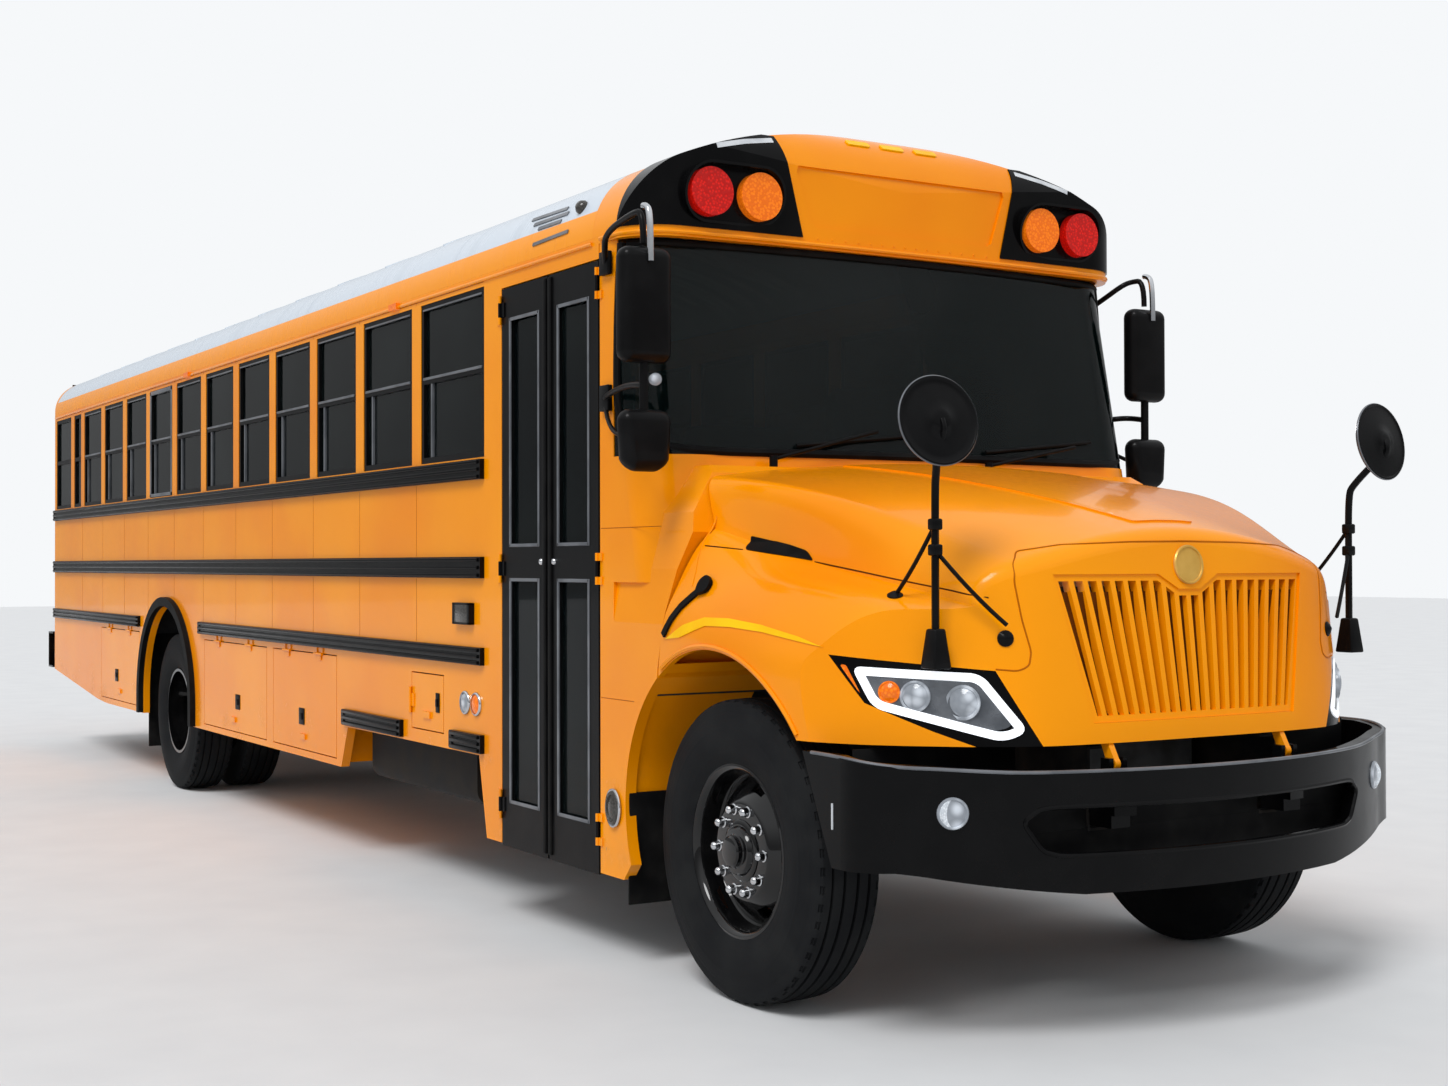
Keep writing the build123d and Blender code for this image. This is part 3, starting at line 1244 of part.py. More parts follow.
def rear_bumper():
    """Steel channel across the back with its two brackets."""
    bar = block(-REAR_REACH, -REAR_REACH + 12, -HALF, HALF, 650, 950)
    bar += block(-REAR_REACH, BODY_REAR - SEAT_GAP, -HALF, HALF, 650, 664)
    bar += block(-REAR_REACH, BODY_REAR - SEAT_GAP, -HALF, HALF, 936, 950)
    for side in (-1, 1):
        y0, y1 = sorted((side * 340, side * 425))
        bar += block(-REAR_REACH + 5, RAIL_REAR - SEAT_GAP, y0, y1, 670, 920)
    return bar


# Seats: rows of two benches, from behind the entrance to the rear
SEAT_ROWS = 12
SEAT_FIRST_X = -2250
SEAT_PITCH = 700
SEAT_Y = (190, 1150)
CUSHION_TOP = 1520
CUSHION_THICK = 130
CUSHION_DEEP = 400
BACK_THICK = 90
BACK_TOP = 2230


def bench_places():
    """Front edge of each bench and its side."""
    rows = []
    for row in range(SEAT_ROWS):
        for side in (-1, 1):
            rows.append((SEAT_FIRST_X - row * SEAT_PITCH, side))
    return rows


def seat_frame(x, side):
    """Legs and back plate of one bench."""
    y0, y1 = sorted((side * SEAT_Y[0], side * SEAT_Y[1]))
    under = CUSHION_TOP - CUSHION_THICK - SEAT_GAP
    floor_z = FLOOR_TOP + SEAT_GAP
    y_leg = side * (SEAT_Y[0] + 40)
    frame = block(x - CUSHION_DEEP, x, y0 + 20, y1 - 20, under - 25, under)
    for leg_x in (x - 60, x - CUSHION_DEEP + 30):
        low, high = sorted((y_leg, y_leg + side * 40))
        frame += block(leg_x - 20, leg_x + 20, low, high, floor_z, under - 20)
    rail = block(x - CUSHION_DEEP, x, side * (SEAT_Y[1] - 60), side * (HALF - WALL - SEAT_GAP), under - 60, under)
    return frame + rail


def seat_pads(x, side):
    """Cushion and padded back of one bench."""
    y0, y1 = sorted((side * SEAT_Y[0], side * SEAT_Y[1]))
    cushion = block(x - CUSHION_DEEP, x, y0, y1, CUSHION_TOP - CUSHION_THICK, CUSHION_TOP)
    cushion = fillet(cushion.edges().filter_by(Axis.Y).group_by(Axis.X)[-1], 35)
    back_x = x - CUSHION_DEEP - SEAT_GAP
    back = block(back_x - BACK_THICK, back_x, y0, y1, CUSHION_TOP - CUSHION_THICK - 60, BACK_TOP)
    back = fillet(back.edges().filter_by(Axis.X).group_by(Axis.Z)[-1], 60)
    return [cushion, back]


# Driver's place
DRIVER_Y = 560
DRIVER_X = -1250
DASH_X = (-830, -560)
DASH_Z = (1300, 1740)
DASH_CORNER = 90            # cut off to clear the cowl's round corners
WHEEL_CENTRE = (-930, 560, 1830)
STEER_WHEEL_R = 225


def driver_seat_parts():
    """Pedestal of the driver's seat, and its cushion and back."""
    pedestal = block(DRIVER_X - 180, DRIVER_X + 180, DRIVER_Y - 160, DRIVER_Y + 160,
                     FLOOR_TOP + SEAT_GAP, 1480)
    cushion = block(DRIVER_X - 240, DRIVER_X + 240, DRIVER_Y - 250, DRIVER_Y + 250, 1480 + SEAT_GAP, 1600)
    back = block(DRIVER_X - 340, DRIVER_X - 240 - SEAT_GAP, DRIVER_Y - 240, DRIVER_Y + 240, 1560, 2330)
    back = fillet(back.edges().filter_by(Axis.X).group_by(Axis.Z)[-1], 80)
    return pedestal, [cushion, back]


def dashboard():
    """Dash panel across the cowl, with the steering column and wheel."""
    wide = HALF - WALL - SEAT_GAP
    dash = block(DASH_X[0], DASH_X[1], -wide + 60, wide, DASH_Z[0], DASH_Z[1])
    front_corners = dash.edges().filter_by(Axis.Z).group_by(Axis.X)[-1]
    dash = chamfer(front_corners, DASH_CORNER)
    dash = fillet(dash.edges().filter_by(Axis.Y).group_by(Axis.X)[0], 60)
    foot_wide = wide - DASH_CORNER
    dash += block(DASH_X[0] + 60, DASH_X[1], 0, foot_wide, FLOOR_TOP + SEAT_GAP, DASH_Z[0] + 5)
    x, y, z = WHEEL_CENTRE
    column = rod((-700, y, 1500), (x, y, z), 60)
    tilt = Plane(origin=(x, y, z), z_dir=(-230, 0, 330))
    rim = tilt * Torus(STEER_WHEEL_R, 15)
    spokes = tilt * Box(2 * STEER_WHEEL_R, 40, 14)
    return dash + column + rim + spokes


# Side mirrors: right and left heads stand at different stations
MIRROR_OUT = 1450
MIRROR_WIDE = 205
MIRROR_DEEP = 90
MIRROR_X = {-1: -290, 1: -580}
MIRROR_UPPER_Z = (2225, 2640)
MIRROR_LOWER_Z = (1840, 2065)


def side_mirror(side):
    """Flat upper head, convex lower head and the arms to the pillar and the cap."""
    x = MIRROR_X[side]
    y0 = MIRROR_OUT - MIRROR_WIDE
    heads = []
    for low, high, corner in ((*MIRROR_UPPER_Z, 40), (*MIRROR_LOWER_Z, 55)):
        head = block(x - MIRROR_DEEP / 2, x + MIRROR_DEEP / 2, y0, MIRROR_OUT, low, high)
        heads.append(fillet(head.edges().filter_by(Axis.X), corner))
    y_mid = (y0 + MIRROR_OUT) / 2
    spine = rod((x, y_mid, MIRROR_LOWER_Z[0] + 60), (x, y_mid, MIRROR_UPPER_Z[1] + 20), 26)
    wall_y = HALF + SEAT_GAP
    low_arm = tube([(-800, wall_y, 2150), (-800, y_mid - 60, 2150), (x, y_mid, 2150)], 28, 40)
    high_arm = tube([(-800, wall_y, 2700), (-800, y_mid - 60, 2700), (x, y_mid, 2655)], 28, 40)
    foot = block(-840, -766, wall_y, wall_y + 20, 2100, 2200)
    foot += block(-840, -766, wall_y, wall_y + 20, 2650, 2748)
    mirror_parts = heads[0] + heads[1] + spine + low_arm + high_arm + foot
    return mirror_parts if side > 0 else mirrored(mirror_parts)


# Small lamps on the body, as (kind, x, y, z, radius): the y of side lamps is the wall
MARKER_FRONT = ((0, 3248), (170, 3238), (-170, 3238), (1010, 3070), (-1010, 3070))
SIDE_MARKERS = ((-6690, 2800), (-3000, 2800))
FOG_Y = 953
FOG_Z = 752
FOG_R = 48
TAIL_RED = ((1000, 1640, 89), (1000, 1400, 50))
TAIL_AMBER = ((780, 1640, 89),)
TAIL_CLEAR = ((780, 1400, 50),)


def rear_round(rows):
    """Round lamps on the rear wall, both sides."""
    lamps = []
    for y, z, radius in rows:
        lamp = drum_x(y, z, radius, BODY_REAR - 20, BODY_REAR - SEAT_GAP)
        lamps += [lamp, mirrored(lamp)]
    return lamps


def side_lamps():
    """Amber turn lamps beside the entrance and markers over the windows."""
    lamps = []
    turn = block(-2185, -2105, HALF + SEAT_GAP, HALF + 24, 1262, 1334)
    lamps += [turn, mirrored(turn)]
    for x, z in SIDE_MARKERS:
        lamp = block(x - 50, x + 50, HALF + SEAT_GAP, HALF + 20, z - 54, z - 24)
        lamps += [lamp, mirrored(lamp)]
    return lamps


def clear_lamps():
    """Fog lamps in the bumper and reversing lamps."""
    fog_x = FRONT_REACH - BUMPER_BOW_R + math.sqrt(BUMPER_BOW_R ** 2 - (FOG_Y + FOG_R) ** 2)
    fog = drum_x(FOG_Y, FOG_Z, FOG_R, fog_x + SEAT_GAP, fog_x + 22)
    fog -= extrude(bumper_plan(-SEAT_GAP, 0), amount=1500, dir=(0, 0, 1))
    return [fog, mirrored(fog)] + rear_round(TAIL_CLEAR)


# Wheel flares and mud flaps
FLAP_X = -WHEELBASE - 690
FRONT_FLAP_X = -WHEELBASE + 690


def flares_and_flaps():
    """Rubber flares round the rear arches, and flaps behind the rear wheels."""
    solids = []
    outer_r = REAR_ARCH_R + FLARE_WIDE
    flare = drum_y(REAR_ARCH_X, REAR_ARCH_Z, outer_r, HALF + SEAT_GAP, HALF + FLARE_PROUD)
    flare -= drum_y(REAR_ARCH_X, REAR_ARCH_Z, REAR_ARCH_R, HALF - 5, HALF + 60)
    flare &= block(-12000, 0, 0, 2000, REAR_ARCH_Z, 3000)
    for sign in (-1, 1):
        x0, x1 = sorted((REAR_ARCH_X + sign * REAR_ARCH_R, REAR_ARCH_X + sign * outer_r))
        flare += block(x0, x1, HALF + SEAT_GAP, HALF + FLARE_PROUD, SKIRT_BOTTOM + 5, REAR_ARCH_Z)
    flap = block(FLAP_X, FLAP_X + 12, 560, 1170, 230, FLOOR_TOP - FLOOR_THICK - SEAT_GAP)
    solids += [flare, mirrored(flare), flap, mirrored(flap)]
    return solids


# Wipers
WIPER_PIVOTS = ((-395, -746, 1880, -460, -270, 2030), (-395, 290, 1895, -440, 745, 2000))


def wipers():
    """Two arms with blades that lie along the pane's lower edge."""
    arms = []
    for x, y, z, tip_x, tip_y, tip_z in WIPER_PIVOTS:
        pivot = drum_z(x + 20, y, 16, COWL_TOP + SEAT_GAP, COWL_TOP + 45)
        arm = rod((x + 20, y, COWL_TOP + 30), (x + 26, tip_y, tip_z), 14)
        arms.append(pivot + arm)
    return arms


# Stop arm on the left wall, folded forward against it
STOP_X = -2080
STOP_Z = 1500
STOP_ACROSS = 450
STOP_THICK = 16
STOP_HINGE_Y = HALF + 52


def stop_arm():
    """An octagonal board on its hinged bracket."""
    radius = STOP_ACROSS / 2 / math.cos(math.pi / 8)
    centre_x = STOP_X - 60 - STOP_ACROSS / 2
    points = []
    for corner in range(8):
        angle = math.pi / 8 + corner * math.pi / 4
        points.append((centre_x + radius * math.cos(angle), STOP_Z + radius * math.sin(angle)))
    board = plate_y(points, STOP_HINGE_Y - STOP_THICK / 2, STOP_HINGE_Y + STOP_THICK / 2)
    arm = block(centre_x - 40, STOP_X, STOP_HINGE_Y - 14, STOP_HINGE_Y + 14, STOP_Z - 60, STOP_Z + 60)
    barrel = drum_z(STOP_X, STOP_HINGE_Y, 20, STOP_Z - 80, STOP_Z + 80)
    barrel -= drum_z(STOP_X, STOP_HINGE_Y, 10 + PIN_GAP, STOP_Z - 90, STOP_Z + 90)
    return board + (arm - drum_z(STOP_X, STOP_HINGE_Y, 15, STOP_Z - 90, STOP_Z + 90)) + barrel


def stop_bracket():
    """The stop arm's motor box on the wall, with the hinge pin."""
    box = block(STOP_X + 30, STOP_X + 110, HALF + SEAT_GAP, STOP_HINGE_Y + 30, STOP_Z - 130, STOP_Z + 130)
    rail_low, rail_high = RAILS[1][:2]
    box -= block(STOP_X, STOP_X + 120, HALF, HALF + RAIL_PROUD + SEAT_GAP, rail_low - SEAT_GAP,
                 rail_high + SEAT_GAP)
    for sign in (-1, 1):
        z0, z1 = sorted((STOP_Z + sign * 90, STOP_Z + sign * 130))
        box += block(STOP_X - 12, STOP_X + 40, STOP_HINGE_Y - 12, STOP_HINGE_Y + 12, z0, z1)
    box += drum_z(STOP_X, STOP_HINGE_Y, 10, STOP_Z - 130, STOP_Z + 130)
    return box


# Entrance door leaves
LEAF_THICK = 40
LEAF_GAP = 14               # between the two leaves
LEAF_EDGE = 6
DOOR_MEET = -1324
LEAF_BORDER = 85
LEAF_PANES = ((520, 1450), (1600, 2550))


def leaf_span(leaf):
    """Rear and front edge of a leaf."""
    if leaf == "rear":
        return DOOR_REAR + LEAF_EDGE, DOOR_MEET - LEAF_GAP / 2
    return DOOR_MEET + LEAF_GAP / 2, DOOR_FRONT - LEAF_EDGE


def door_leaf(leaf):
    """One leaf with two window openings."""
    rear, front = leaf_span(leaf)
    panel = block(rear, front, -HALF, -HALF + LEAF_THICK, DOOR_BOTTOM, DOOR_TOP - LEAF_EDGE)
    for low, high in LEAF_PANES:
        panel -= block(rear + LEAF_BORDER, front - LEAF_BORDER, -HALF - 5, -HALF + LEAF_THICK + 5, low, high)
    return panel + hinge_halves(leaf_hinges(leaf))[0]


def door_glass(leaf):
    """The two panes of a leaf."""
    rear, front = leaf_span(leaf)
    middle = -HALF + LEAF_THICK / 2
    panes = []
    for low, high in LEAF_PANES:
        panes.append(block(rear + LEAF_BORDER + SEAT_GAP, front - LEAF_BORDER - SEAT_GAP,
                           middle - GLASS / 2, middle + GLASS / 2, low + SEAT_GAP, high - SEAT_GAP))
    return panes


def grab_rails():
    """Hand rails on both sides of the steps."""
    rails = []
    tread = DOOR_BOTTOM + 30 + SEAT_GAP
    for x in (DOOR_REAR + 90, -960):
        rails.append(tube([(x, -1120, tread), (x, -1120, 1400), (x, -420, 1900),
                           (x, -420, FLOOR_TOP + SEAT_GAP)], 32, 90))
    return rails


# Wheels: tyre section, then the discs as (y, radius) from the rim's middle
def tyre(x, y):
    """One tyre with rounded walls and shoulders."""
    half = TYRE_WIDE / 2
    bead = RIM_WIDE / 2 - 8
    edges = []
    for sign in (-1, 1):
        edges.append(ThreePointArc((0, sign * bead, RIM_R), (0, sign * half, 395), (0, sign * (half - 10), 488)))
        edges.append(Line((0, sign * (half - 10), 488), (0, sign * (half - 26), TYRE_R)))
    edges.append(Line((0, -bead, RIM_R), (0, bead, RIM_R)))
    edges.append(Line((0, -half + 26, TYRE_R), (0, half - 26, TYRE_R)))
    return Pos(x, y, TYRE_R) * revolve(make_face(edges), axis=Axis.Y)


HUB_BORE = 38.3
FRONT_DISC = ((10, 268), (22, 268), (86, 205), (96, 200), (96, 100), (84, 100), (84, 196), (76, 200), (10, 258))
FRONT_HUB = ((-70, 62), (84, 62), (84, 118), (96, 118), (96, 84), (128, 78), (136, 40), (136, 0), (78, 0),
             (78, HUB_BORE), (-70, HUB_BORE))


def barrel_profile():
    """The rim's barrel as (y, radius)."""
    half = RIM_WIDE / 2
    return ((-half, RIM_R - SEAT_GAP), (half, RIM_R - SEAT_GAP), (half, RIM_R - RIM_WALL), (-half, RIM_R - RIM_WALL))


def wheel_holes(y0, y1, count, circle, radius):
    """Cylinders along Y set round a circle about the Y axis."""
    cuts = []
    for index in range(count):
        angle = 2 * math.pi * index / count
        cuts.append(drum_y(circle * math.cos(angle), circle * math.sin(angle), radius, y0, y1))
    return cuts


def front_rim():
    """Front wheel: barrel, convex disc with hand holes, hub and nuts, about its own middle."""
    rim = turned(barrel_profile(), 0, 0, 0) + turned(FRONT_DISC, 0, 0, 0)
    rim -= wheel_holes(20, 100, HAND_HOLES * 2, 232, 20)
    rim += turned(FRONT_HUB, 0, 0, 0)
    rim += wheel_holes(90, 128, LUGS, LUG_CIRCLE / 2, 15)
    return rim


TWIN_MID = (WHEEL_Y + TWIN_Y) / 2
REAR_DISC_OUT = ((-150, 268), (-150, 250), (-167.5, 205), (-167.5, 120), (-150, 120), (-150, 196), (-100, 252),
                 (-92, 268))
REAR_HUB = ((-330, 105), (-150, 105), (-40, 98), (-20, 80), (-20, 0), (-30, 0), (-30, 48.6), (-330, 48.6))


def rear_rims():
    """Twin rear wheels bolted back to back on one hub, about the outer tyre's middle."""
    inner_offset = TWIN_Y - WHEEL_Y
    outer = turned(barrel_profile(), 0, 0, 0)
    inner = turned(barrel_profile(), 0, inner_offset, 0)
    disc_a = turned(((-60, 268), (-60, 256), (-168, 200), (-168, 100), (-156, 100), (-156, 192), (-76, 240),
                     (-48, 268)), 0, 0, 0)
    disc_b = turned(((-275, 268), (-275, 256), (-167, 200), (-167, 100), (-179, 100), (-179, 192),
                     (-259, 240), (-287, 268)), 0, 0, 0)
    rims = outer + inner + disc_a + disc_b
    rims += turned(REAR_HUB, 0, 0, 0)
    rims += wheel_holes(-160, -120, LUGS, LUG_CIRCLE / 2, 15)
    return rims


def place_wheel(shape, x, side):
    """Carry a left-hand wheel to its axle."""
    placed = Pos(x, WHEEL_Y, TYRE_R) * shape
    return placed if side > 0 else mirrored(placed)


def build():
    """Write every node."""
    save("frame_rails", *frame_rails())
    save("front_axle", front_axle())
    save("rear_axle", *rear_axle())
    save("engine", *engine())
    save("fuel_tank", fuel_tank())
    save("exhaust", exhaust())
    save("floor", floor())
    save("side_wall_right", side_wall(-1))
    save("side_wall_left", side_wall(1), stop_bracket())
    save("roof", roof())
    save("front_cap", front_cap())
    save("rear_wall", rear_wall())
    save("cowl", cowl())
    save("windshield", windshield())
    save("window_frames", *[sash(*row) for row in all_windows()])
    panes = [pane for row in all_windows() for pane in window_panes(*row)]
    save("window_glass", *panes, *rear_panes())
    save("rub_rails", *rub_rails())
    save("front_bumper", *front_bumper())
    save("rear_bumper", rear_bumper())
    pedestal, driver_pads = driver_seat_parts()
    save("seat_frames", pedestal, *[seat_frame(*place) for place in bench_places()])
    pads = [pad for place in bench_places() for pad in seat_pads(*place)]
    save("seat_cushions", *pads, *driver_pads)
    save("dashboard", dashboard())
    save("grab_rails", *grab_rails())
    save("side_mirrors", side_mirror(-1), side_mirror(1))
    save("lamp_panels", *lamp_panels())
    save("red_lamps", *warning_lamps("red"), *rear_round(TAIL_RED))
    save("amber_lamps", *warning_lamps("amber"), *rear_round(TAIL_AMBER), *side_lamps())
    save("clear_lamps", *clear_lamps())
    save("flares_and_flaps", *flares_and_flaps())
    save("wipers", *wipers())
    save("luggage_boxes", *luggage_boxes())
    save("hood_shell", hood_shell())
    save("grille", grille())
    save("headlamps", *headlamps())
    cross = crossview_mirror()
    save("crossview_mirrors", cross, mirrored(cross))
    save("knuckle_right", knuckle(-1))
    save("knuckle_left", knuckle(1))
    save("tie_rod", tie_rod())
    front_rim_shape = front_rim()
    rear_rim_shape = rear_rims()
    for side, word in ((-1, "right"), (1, "left")):
        save("tyre_front_" + word, tyre(0, side * WHEEL_Y))
        save("rim_front_" + word, place_wheel(front_rim_shape, 0, side))
        save("tyres_rear_" + word, tyre(REAR_ARCH_X, side * WHEEL_Y), tyre(REAR_ARCH_X, side * TWIN_Y))
        save("rims_rear_" + word, place_wheel(rear_rim_shape, REAR_ARCH_X, side))
    for leaf in ("rear", "front"):
        save("door_leaf_" + leaf, door_leaf(leaf))
        save("door_glass_" + leaf, *door_glass(leaf))
    save("emergency_door", emergency_door())
    save("emergency_glass", *emergency_glass())
    save("stop_arm", stop_arm())
    for row in HATCHES:
        save(row[0], hatch(*row))
    for index, x in enumerate(ROOF_HATCH_X):
        save("roof_hatch_" + ("front", "rear")[index], roof_hatch(x))


build()
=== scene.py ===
# %% [markdown]
# # Dressing a school bus around its measured frame
#
# The frame is the engineering model of the bus, packed as one file. Every length here
# is in metres and in the frame's own axes: +X points to the bus's nose, +Y to its left
# and +Z up, with the origin on the ground in the middle of the bus.
#
# The frame could be redrawn in Blender, but then doors and wheels would have to be
# fitted again by eye. It is loaded as it stands instead, and each new piece is drawn
# at its real place, so nothing has to be moved afterwards.
# %% Load the frame
import math

import bmesh
import bpy
from mathutils import Matrix, Vector


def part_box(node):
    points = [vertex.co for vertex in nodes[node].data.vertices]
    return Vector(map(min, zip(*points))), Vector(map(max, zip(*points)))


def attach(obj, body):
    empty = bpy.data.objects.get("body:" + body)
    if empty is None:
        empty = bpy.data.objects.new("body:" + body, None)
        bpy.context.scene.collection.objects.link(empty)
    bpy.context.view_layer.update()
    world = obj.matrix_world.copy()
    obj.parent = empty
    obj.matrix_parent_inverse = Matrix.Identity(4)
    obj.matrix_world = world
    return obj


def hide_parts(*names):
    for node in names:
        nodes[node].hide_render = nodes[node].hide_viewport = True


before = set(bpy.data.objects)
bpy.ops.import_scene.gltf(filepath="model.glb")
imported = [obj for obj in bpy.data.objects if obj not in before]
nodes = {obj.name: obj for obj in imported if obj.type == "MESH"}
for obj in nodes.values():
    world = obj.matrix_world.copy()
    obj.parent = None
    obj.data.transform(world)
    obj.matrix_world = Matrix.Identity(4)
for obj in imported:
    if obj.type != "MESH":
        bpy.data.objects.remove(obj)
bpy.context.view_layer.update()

# %% [markdown]
# ## The camera
#
# The picture was taken from the kerb, about six metres from the front corner and at
# the height of a person's eyes. A camera can be aimed with a tracking constraint, but
# a constraint can't hold the slight roll that a hand-held picture has. The camera is
# turned by three plain angles instead: round Z, then up, then round its own axis.
# %% Camera
EYE = Vector((10.3694, -4.4948, 1.5208))
LOOK_YAW, LOOK_PITCH, LOOK_ROLL = 2.5944, 0.0109, -0.0025
LENS_MM, SENSOR_MM = 45.78, 36.0
SIGHT = 400.0

bpy.ops.object.select_all(action="DESELECT")
bpy.ops.object.camera_add(location=EYE)
camera = bpy.context.object
camera.name = "eye_level_camera"
turn = Matrix.Rotation(LOOK_YAW - math.pi / 2, 4, "Z")
turn = turn @ Matrix.Rotation(LOOK_PITCH + math.pi / 2, 4, "X")
turn = turn @ Matrix.Rotation(LOOK_ROLL, 4, "Z")
camera.rotation_euler = turn.to_euler()
camera.data.lens = LENS_MM
camera.data.sensor_width = SENSOR_MM
camera.data.clip_end = SIGHT
bpy.context.scene.camera = camera
print("camera at", tuple(round(c, 2) for c in camera.location))

# %% [markdown]
# ## Working with nodes
#
# A material is a tree of nodes, and its sums are Math nodes. Wiring each by hand hides
# what is meant. A small class can stand for the wire that leaves a node, so that
# `1 - mask * 0.5` in Python adds the nodes for that sum. Any other node comes from one
# method that sets its choices first and then its sockets. The room's light is a tree
# too, so the same class takes any tree.
# %% Wires and finishes
class Wire:
    """The wire from one node's output. Arithmetic on it adds Math nodes."""

    def __init__(self, finish, socket):
        self.finish, self.socket = finish, socket

    def sum_of(self, operation, first, second):
        return self.finish.node("Math", {"operation": operation}, {0: first, 1: second})

    def __add__(self, other):
        return self.sum_of("ADD", self, other)

    def __radd__(self, other):
        return self.sum_of("ADD", other, self)

    def __sub__(self, other):
        return self.sum_of("SUBTRACT", self, other)

    def __rsub__(self, other):
        return self.sum_of("SUBTRACT", other, self)

    def __mul__(self, other):
        return self.sum_of("MULTIPLY", self, other)

    def __rmul__(self, other):
        return self.sum_of("MULTIPLY", other, self)


class Finish:
    """A new material, or another node tree, whose nodes are added one by one."""

    def __init__(self, name, tree=None):
        if tree is None:
            self.material = bpy.data.materials.new(name)
            self.material.use_nodes = True
            tree = self.material.node_tree
        self.tree = tree
        tree.nodes.clear()

    def node(self, kind, choices, sockets, output=0):
        added = self.tree.nodes.new("ShaderNode" + kind)
        for name, choice in choices.items():
            setattr(added, name, choice)
        for name, value in sockets.items():
            if isinstance(value, Wire):
                self.tree.links.new(value.socket, added.inputs[name])
            else:
                added.inputs[name].default_value = value
        return Wire(self, added.outputs[output]) if added.outputs else None

    def place(self):
        return self.node("TexCoord", {}, {}, output="Object")

    def height(self):
        return self.node("SeparateXYZ", {}, {"Vector": self.place()}, output=2)

    def noise(self, scale, detail=4.0, stretch=(1, 1, 1)):
        where = self.node("Mapping", {}, {"Vector": self.place(), "Scale": stretch})
        sockets = {"Vector": where, "Scale": scale, "Detail": detail}
        return self.node("TexNoise", {}, sockets)

    def range(self, value, low, high, new_low=0.0, new_high=1.0):
        sockets = {0: value, 1: low, 2: high, 3: new_low, 4: new_high}
        return self.node("MapRange", {"interpolation_type": "SMOOTHSTEP"}, sockets)

    def blend(self, share, first, second):
        sockets = {0: share, 6: first, 7: second}
        return self.node("Mix", {"data_type": "RGBA"}, sockets, output=2)

    def bump(self, height, depth, strength=1.0, under=None):
        sockets = {"Height": height, "Distance": depth, "Strength": strength}
        if under is not None:
            sockets["Normal"] = under
        return self.node("Bump", {}, sockets)

    def surface(self, **sockets):
        named = {name.replace("_", " "): value for name, value in sockets.items()}
        shader = self.node("BsdfPrincipled", {}, named)
        self.node("OutputMaterial", {}, {"Surface": shader})
        return self.material


def rgb(red, green, blue):
    """A colour as it looks on screen, from 0 to 255, made ready for a shader."""
    shares = [c / 255 for c in (red, green, blue)]
    ready = [s / 12.92 if s <= 0.04045 else ((s + 0.055) / 1.055) ** 2.4 for s in shares]
    return (*ready, 1.0)


print("wires and finishes are ready")

# %% [markdown]
# ## Yellow paint
#
# The body is sprayed in one glossy orange yellow. A single colour with a low roughness
# would look like plastic. Real coachwork has three layers of detail: the panels are a
# little wavy, the lacquer has a fine orange peel, and road dust dulls it near the
# ground. Each is a noise in the paint's own place on the bus, so it holds still in
# every view.
# %% Yellow paint
PAINT = rgb(252, 155, 0)
PAINT_DEEP = rgb(244, 141, 0)
ROAD_DUST = rgb(150, 128, 98)
DUST_TOP, DUST_FULL = 0.95, 0.25

paint = Finish("yellow_coachwork")
clouds, specks = paint.noise(0.9, 3.0), paint.noise(38.0, 6.0)
tone = paint.blend(paint.range(clouds, 0.35, 0.68), PAINT, PAINT_DEEP)
low = paint.range(paint.height(), DUST_TOP, DUST_FULL)
dust = low * paint.range(paint.noise(5.0, 8.0), 0.45, 0.8) * 0.3
chips = paint.range(specks, 0.72, 0.74) * low * 0.5
waves = paint.bump(paint.noise(1.7, 2.0, (1, 1, 1.8)), 0.012, 0.35)
yellow = paint.surface(
    Base_Color=paint.blend(dust + chips, tone, ROAD_DUST),
    Roughness=0.2 + dust * 0.5 + paint.range(specks, 0.3, 0.7) * 0.06,
    Specular_IOR_Level=0.12,
    Coat_Weight=0.24 - dust * 0.5,
    Coat_Roughness=0.04,
    Normal=paint.bump(paint.noise(420.0, 2.0), 0.0004, 0.25, waves),
)
print("made", yellow.name)

# %% [markdown]
# ## White roof
#
# The roof's crown is white to keep the bus cool, and the paint line runs along each
# side a little above the gutter. Two objects with two materials could meet there, but
# the roof is one pressed skin, so one material changes colour at that height instead.
# Rain leaves faint grey runs across the skin.
# %% Roof paint
ROOF_LINE = 2.890
ROOF_LINE_EDGE = 0.002
ROOF_WHITE, ROOF_GREY = rgb(205, 214, 224), rgb(176, 184, 194)

roof_paint = Finish("two_tone_roof")
runs = roof_paint.noise(9.0, 5.0, (1.0, 0.12, 0.12))
white = roof_paint.blend(roof_paint.range(runs, 0.5, 0.8) * 0.5, ROOF_WHITE, ROOF_GREY)
crown = roof_paint.range(
    roof_paint.height(), ROOF_LINE - ROOF_LINE_EDGE, ROOF_LINE + ROOF_LINE_EDGE
)
two_tone = roof_paint.surface(
    Base_Color=roof_paint.blend(crown, PAINT, white),
    Roughness=0.24 + roof_paint.range(runs, 0.4, 0.8) * 0.14,
    Specular_IOR_Level=0.12,
    Coat_Weight=0.24 - crown * 0.1,
    Coat_Roughness=0.06,
    Normal=roof_paint.bump(roof_paint.noise(2.1, 2.0), 0.01, 0.3),
)
print("the roof turns white above", ROOF_LINE)

# %% [markdown]
# ## Plain finishes
#
# Rubber, moulded plastic, castings and bright metal differ in colour, shine and grain,
# but the way they are made up is the same: two tones mixed by a cloudy noise, a
# roughness that follows it, dust low down and a fine grain in the normal. One function
# takes those choices, and a table gives them for each finish of the bus.
# %% Plain finishes
GREY_DUST = rgb(64, 62, 60)
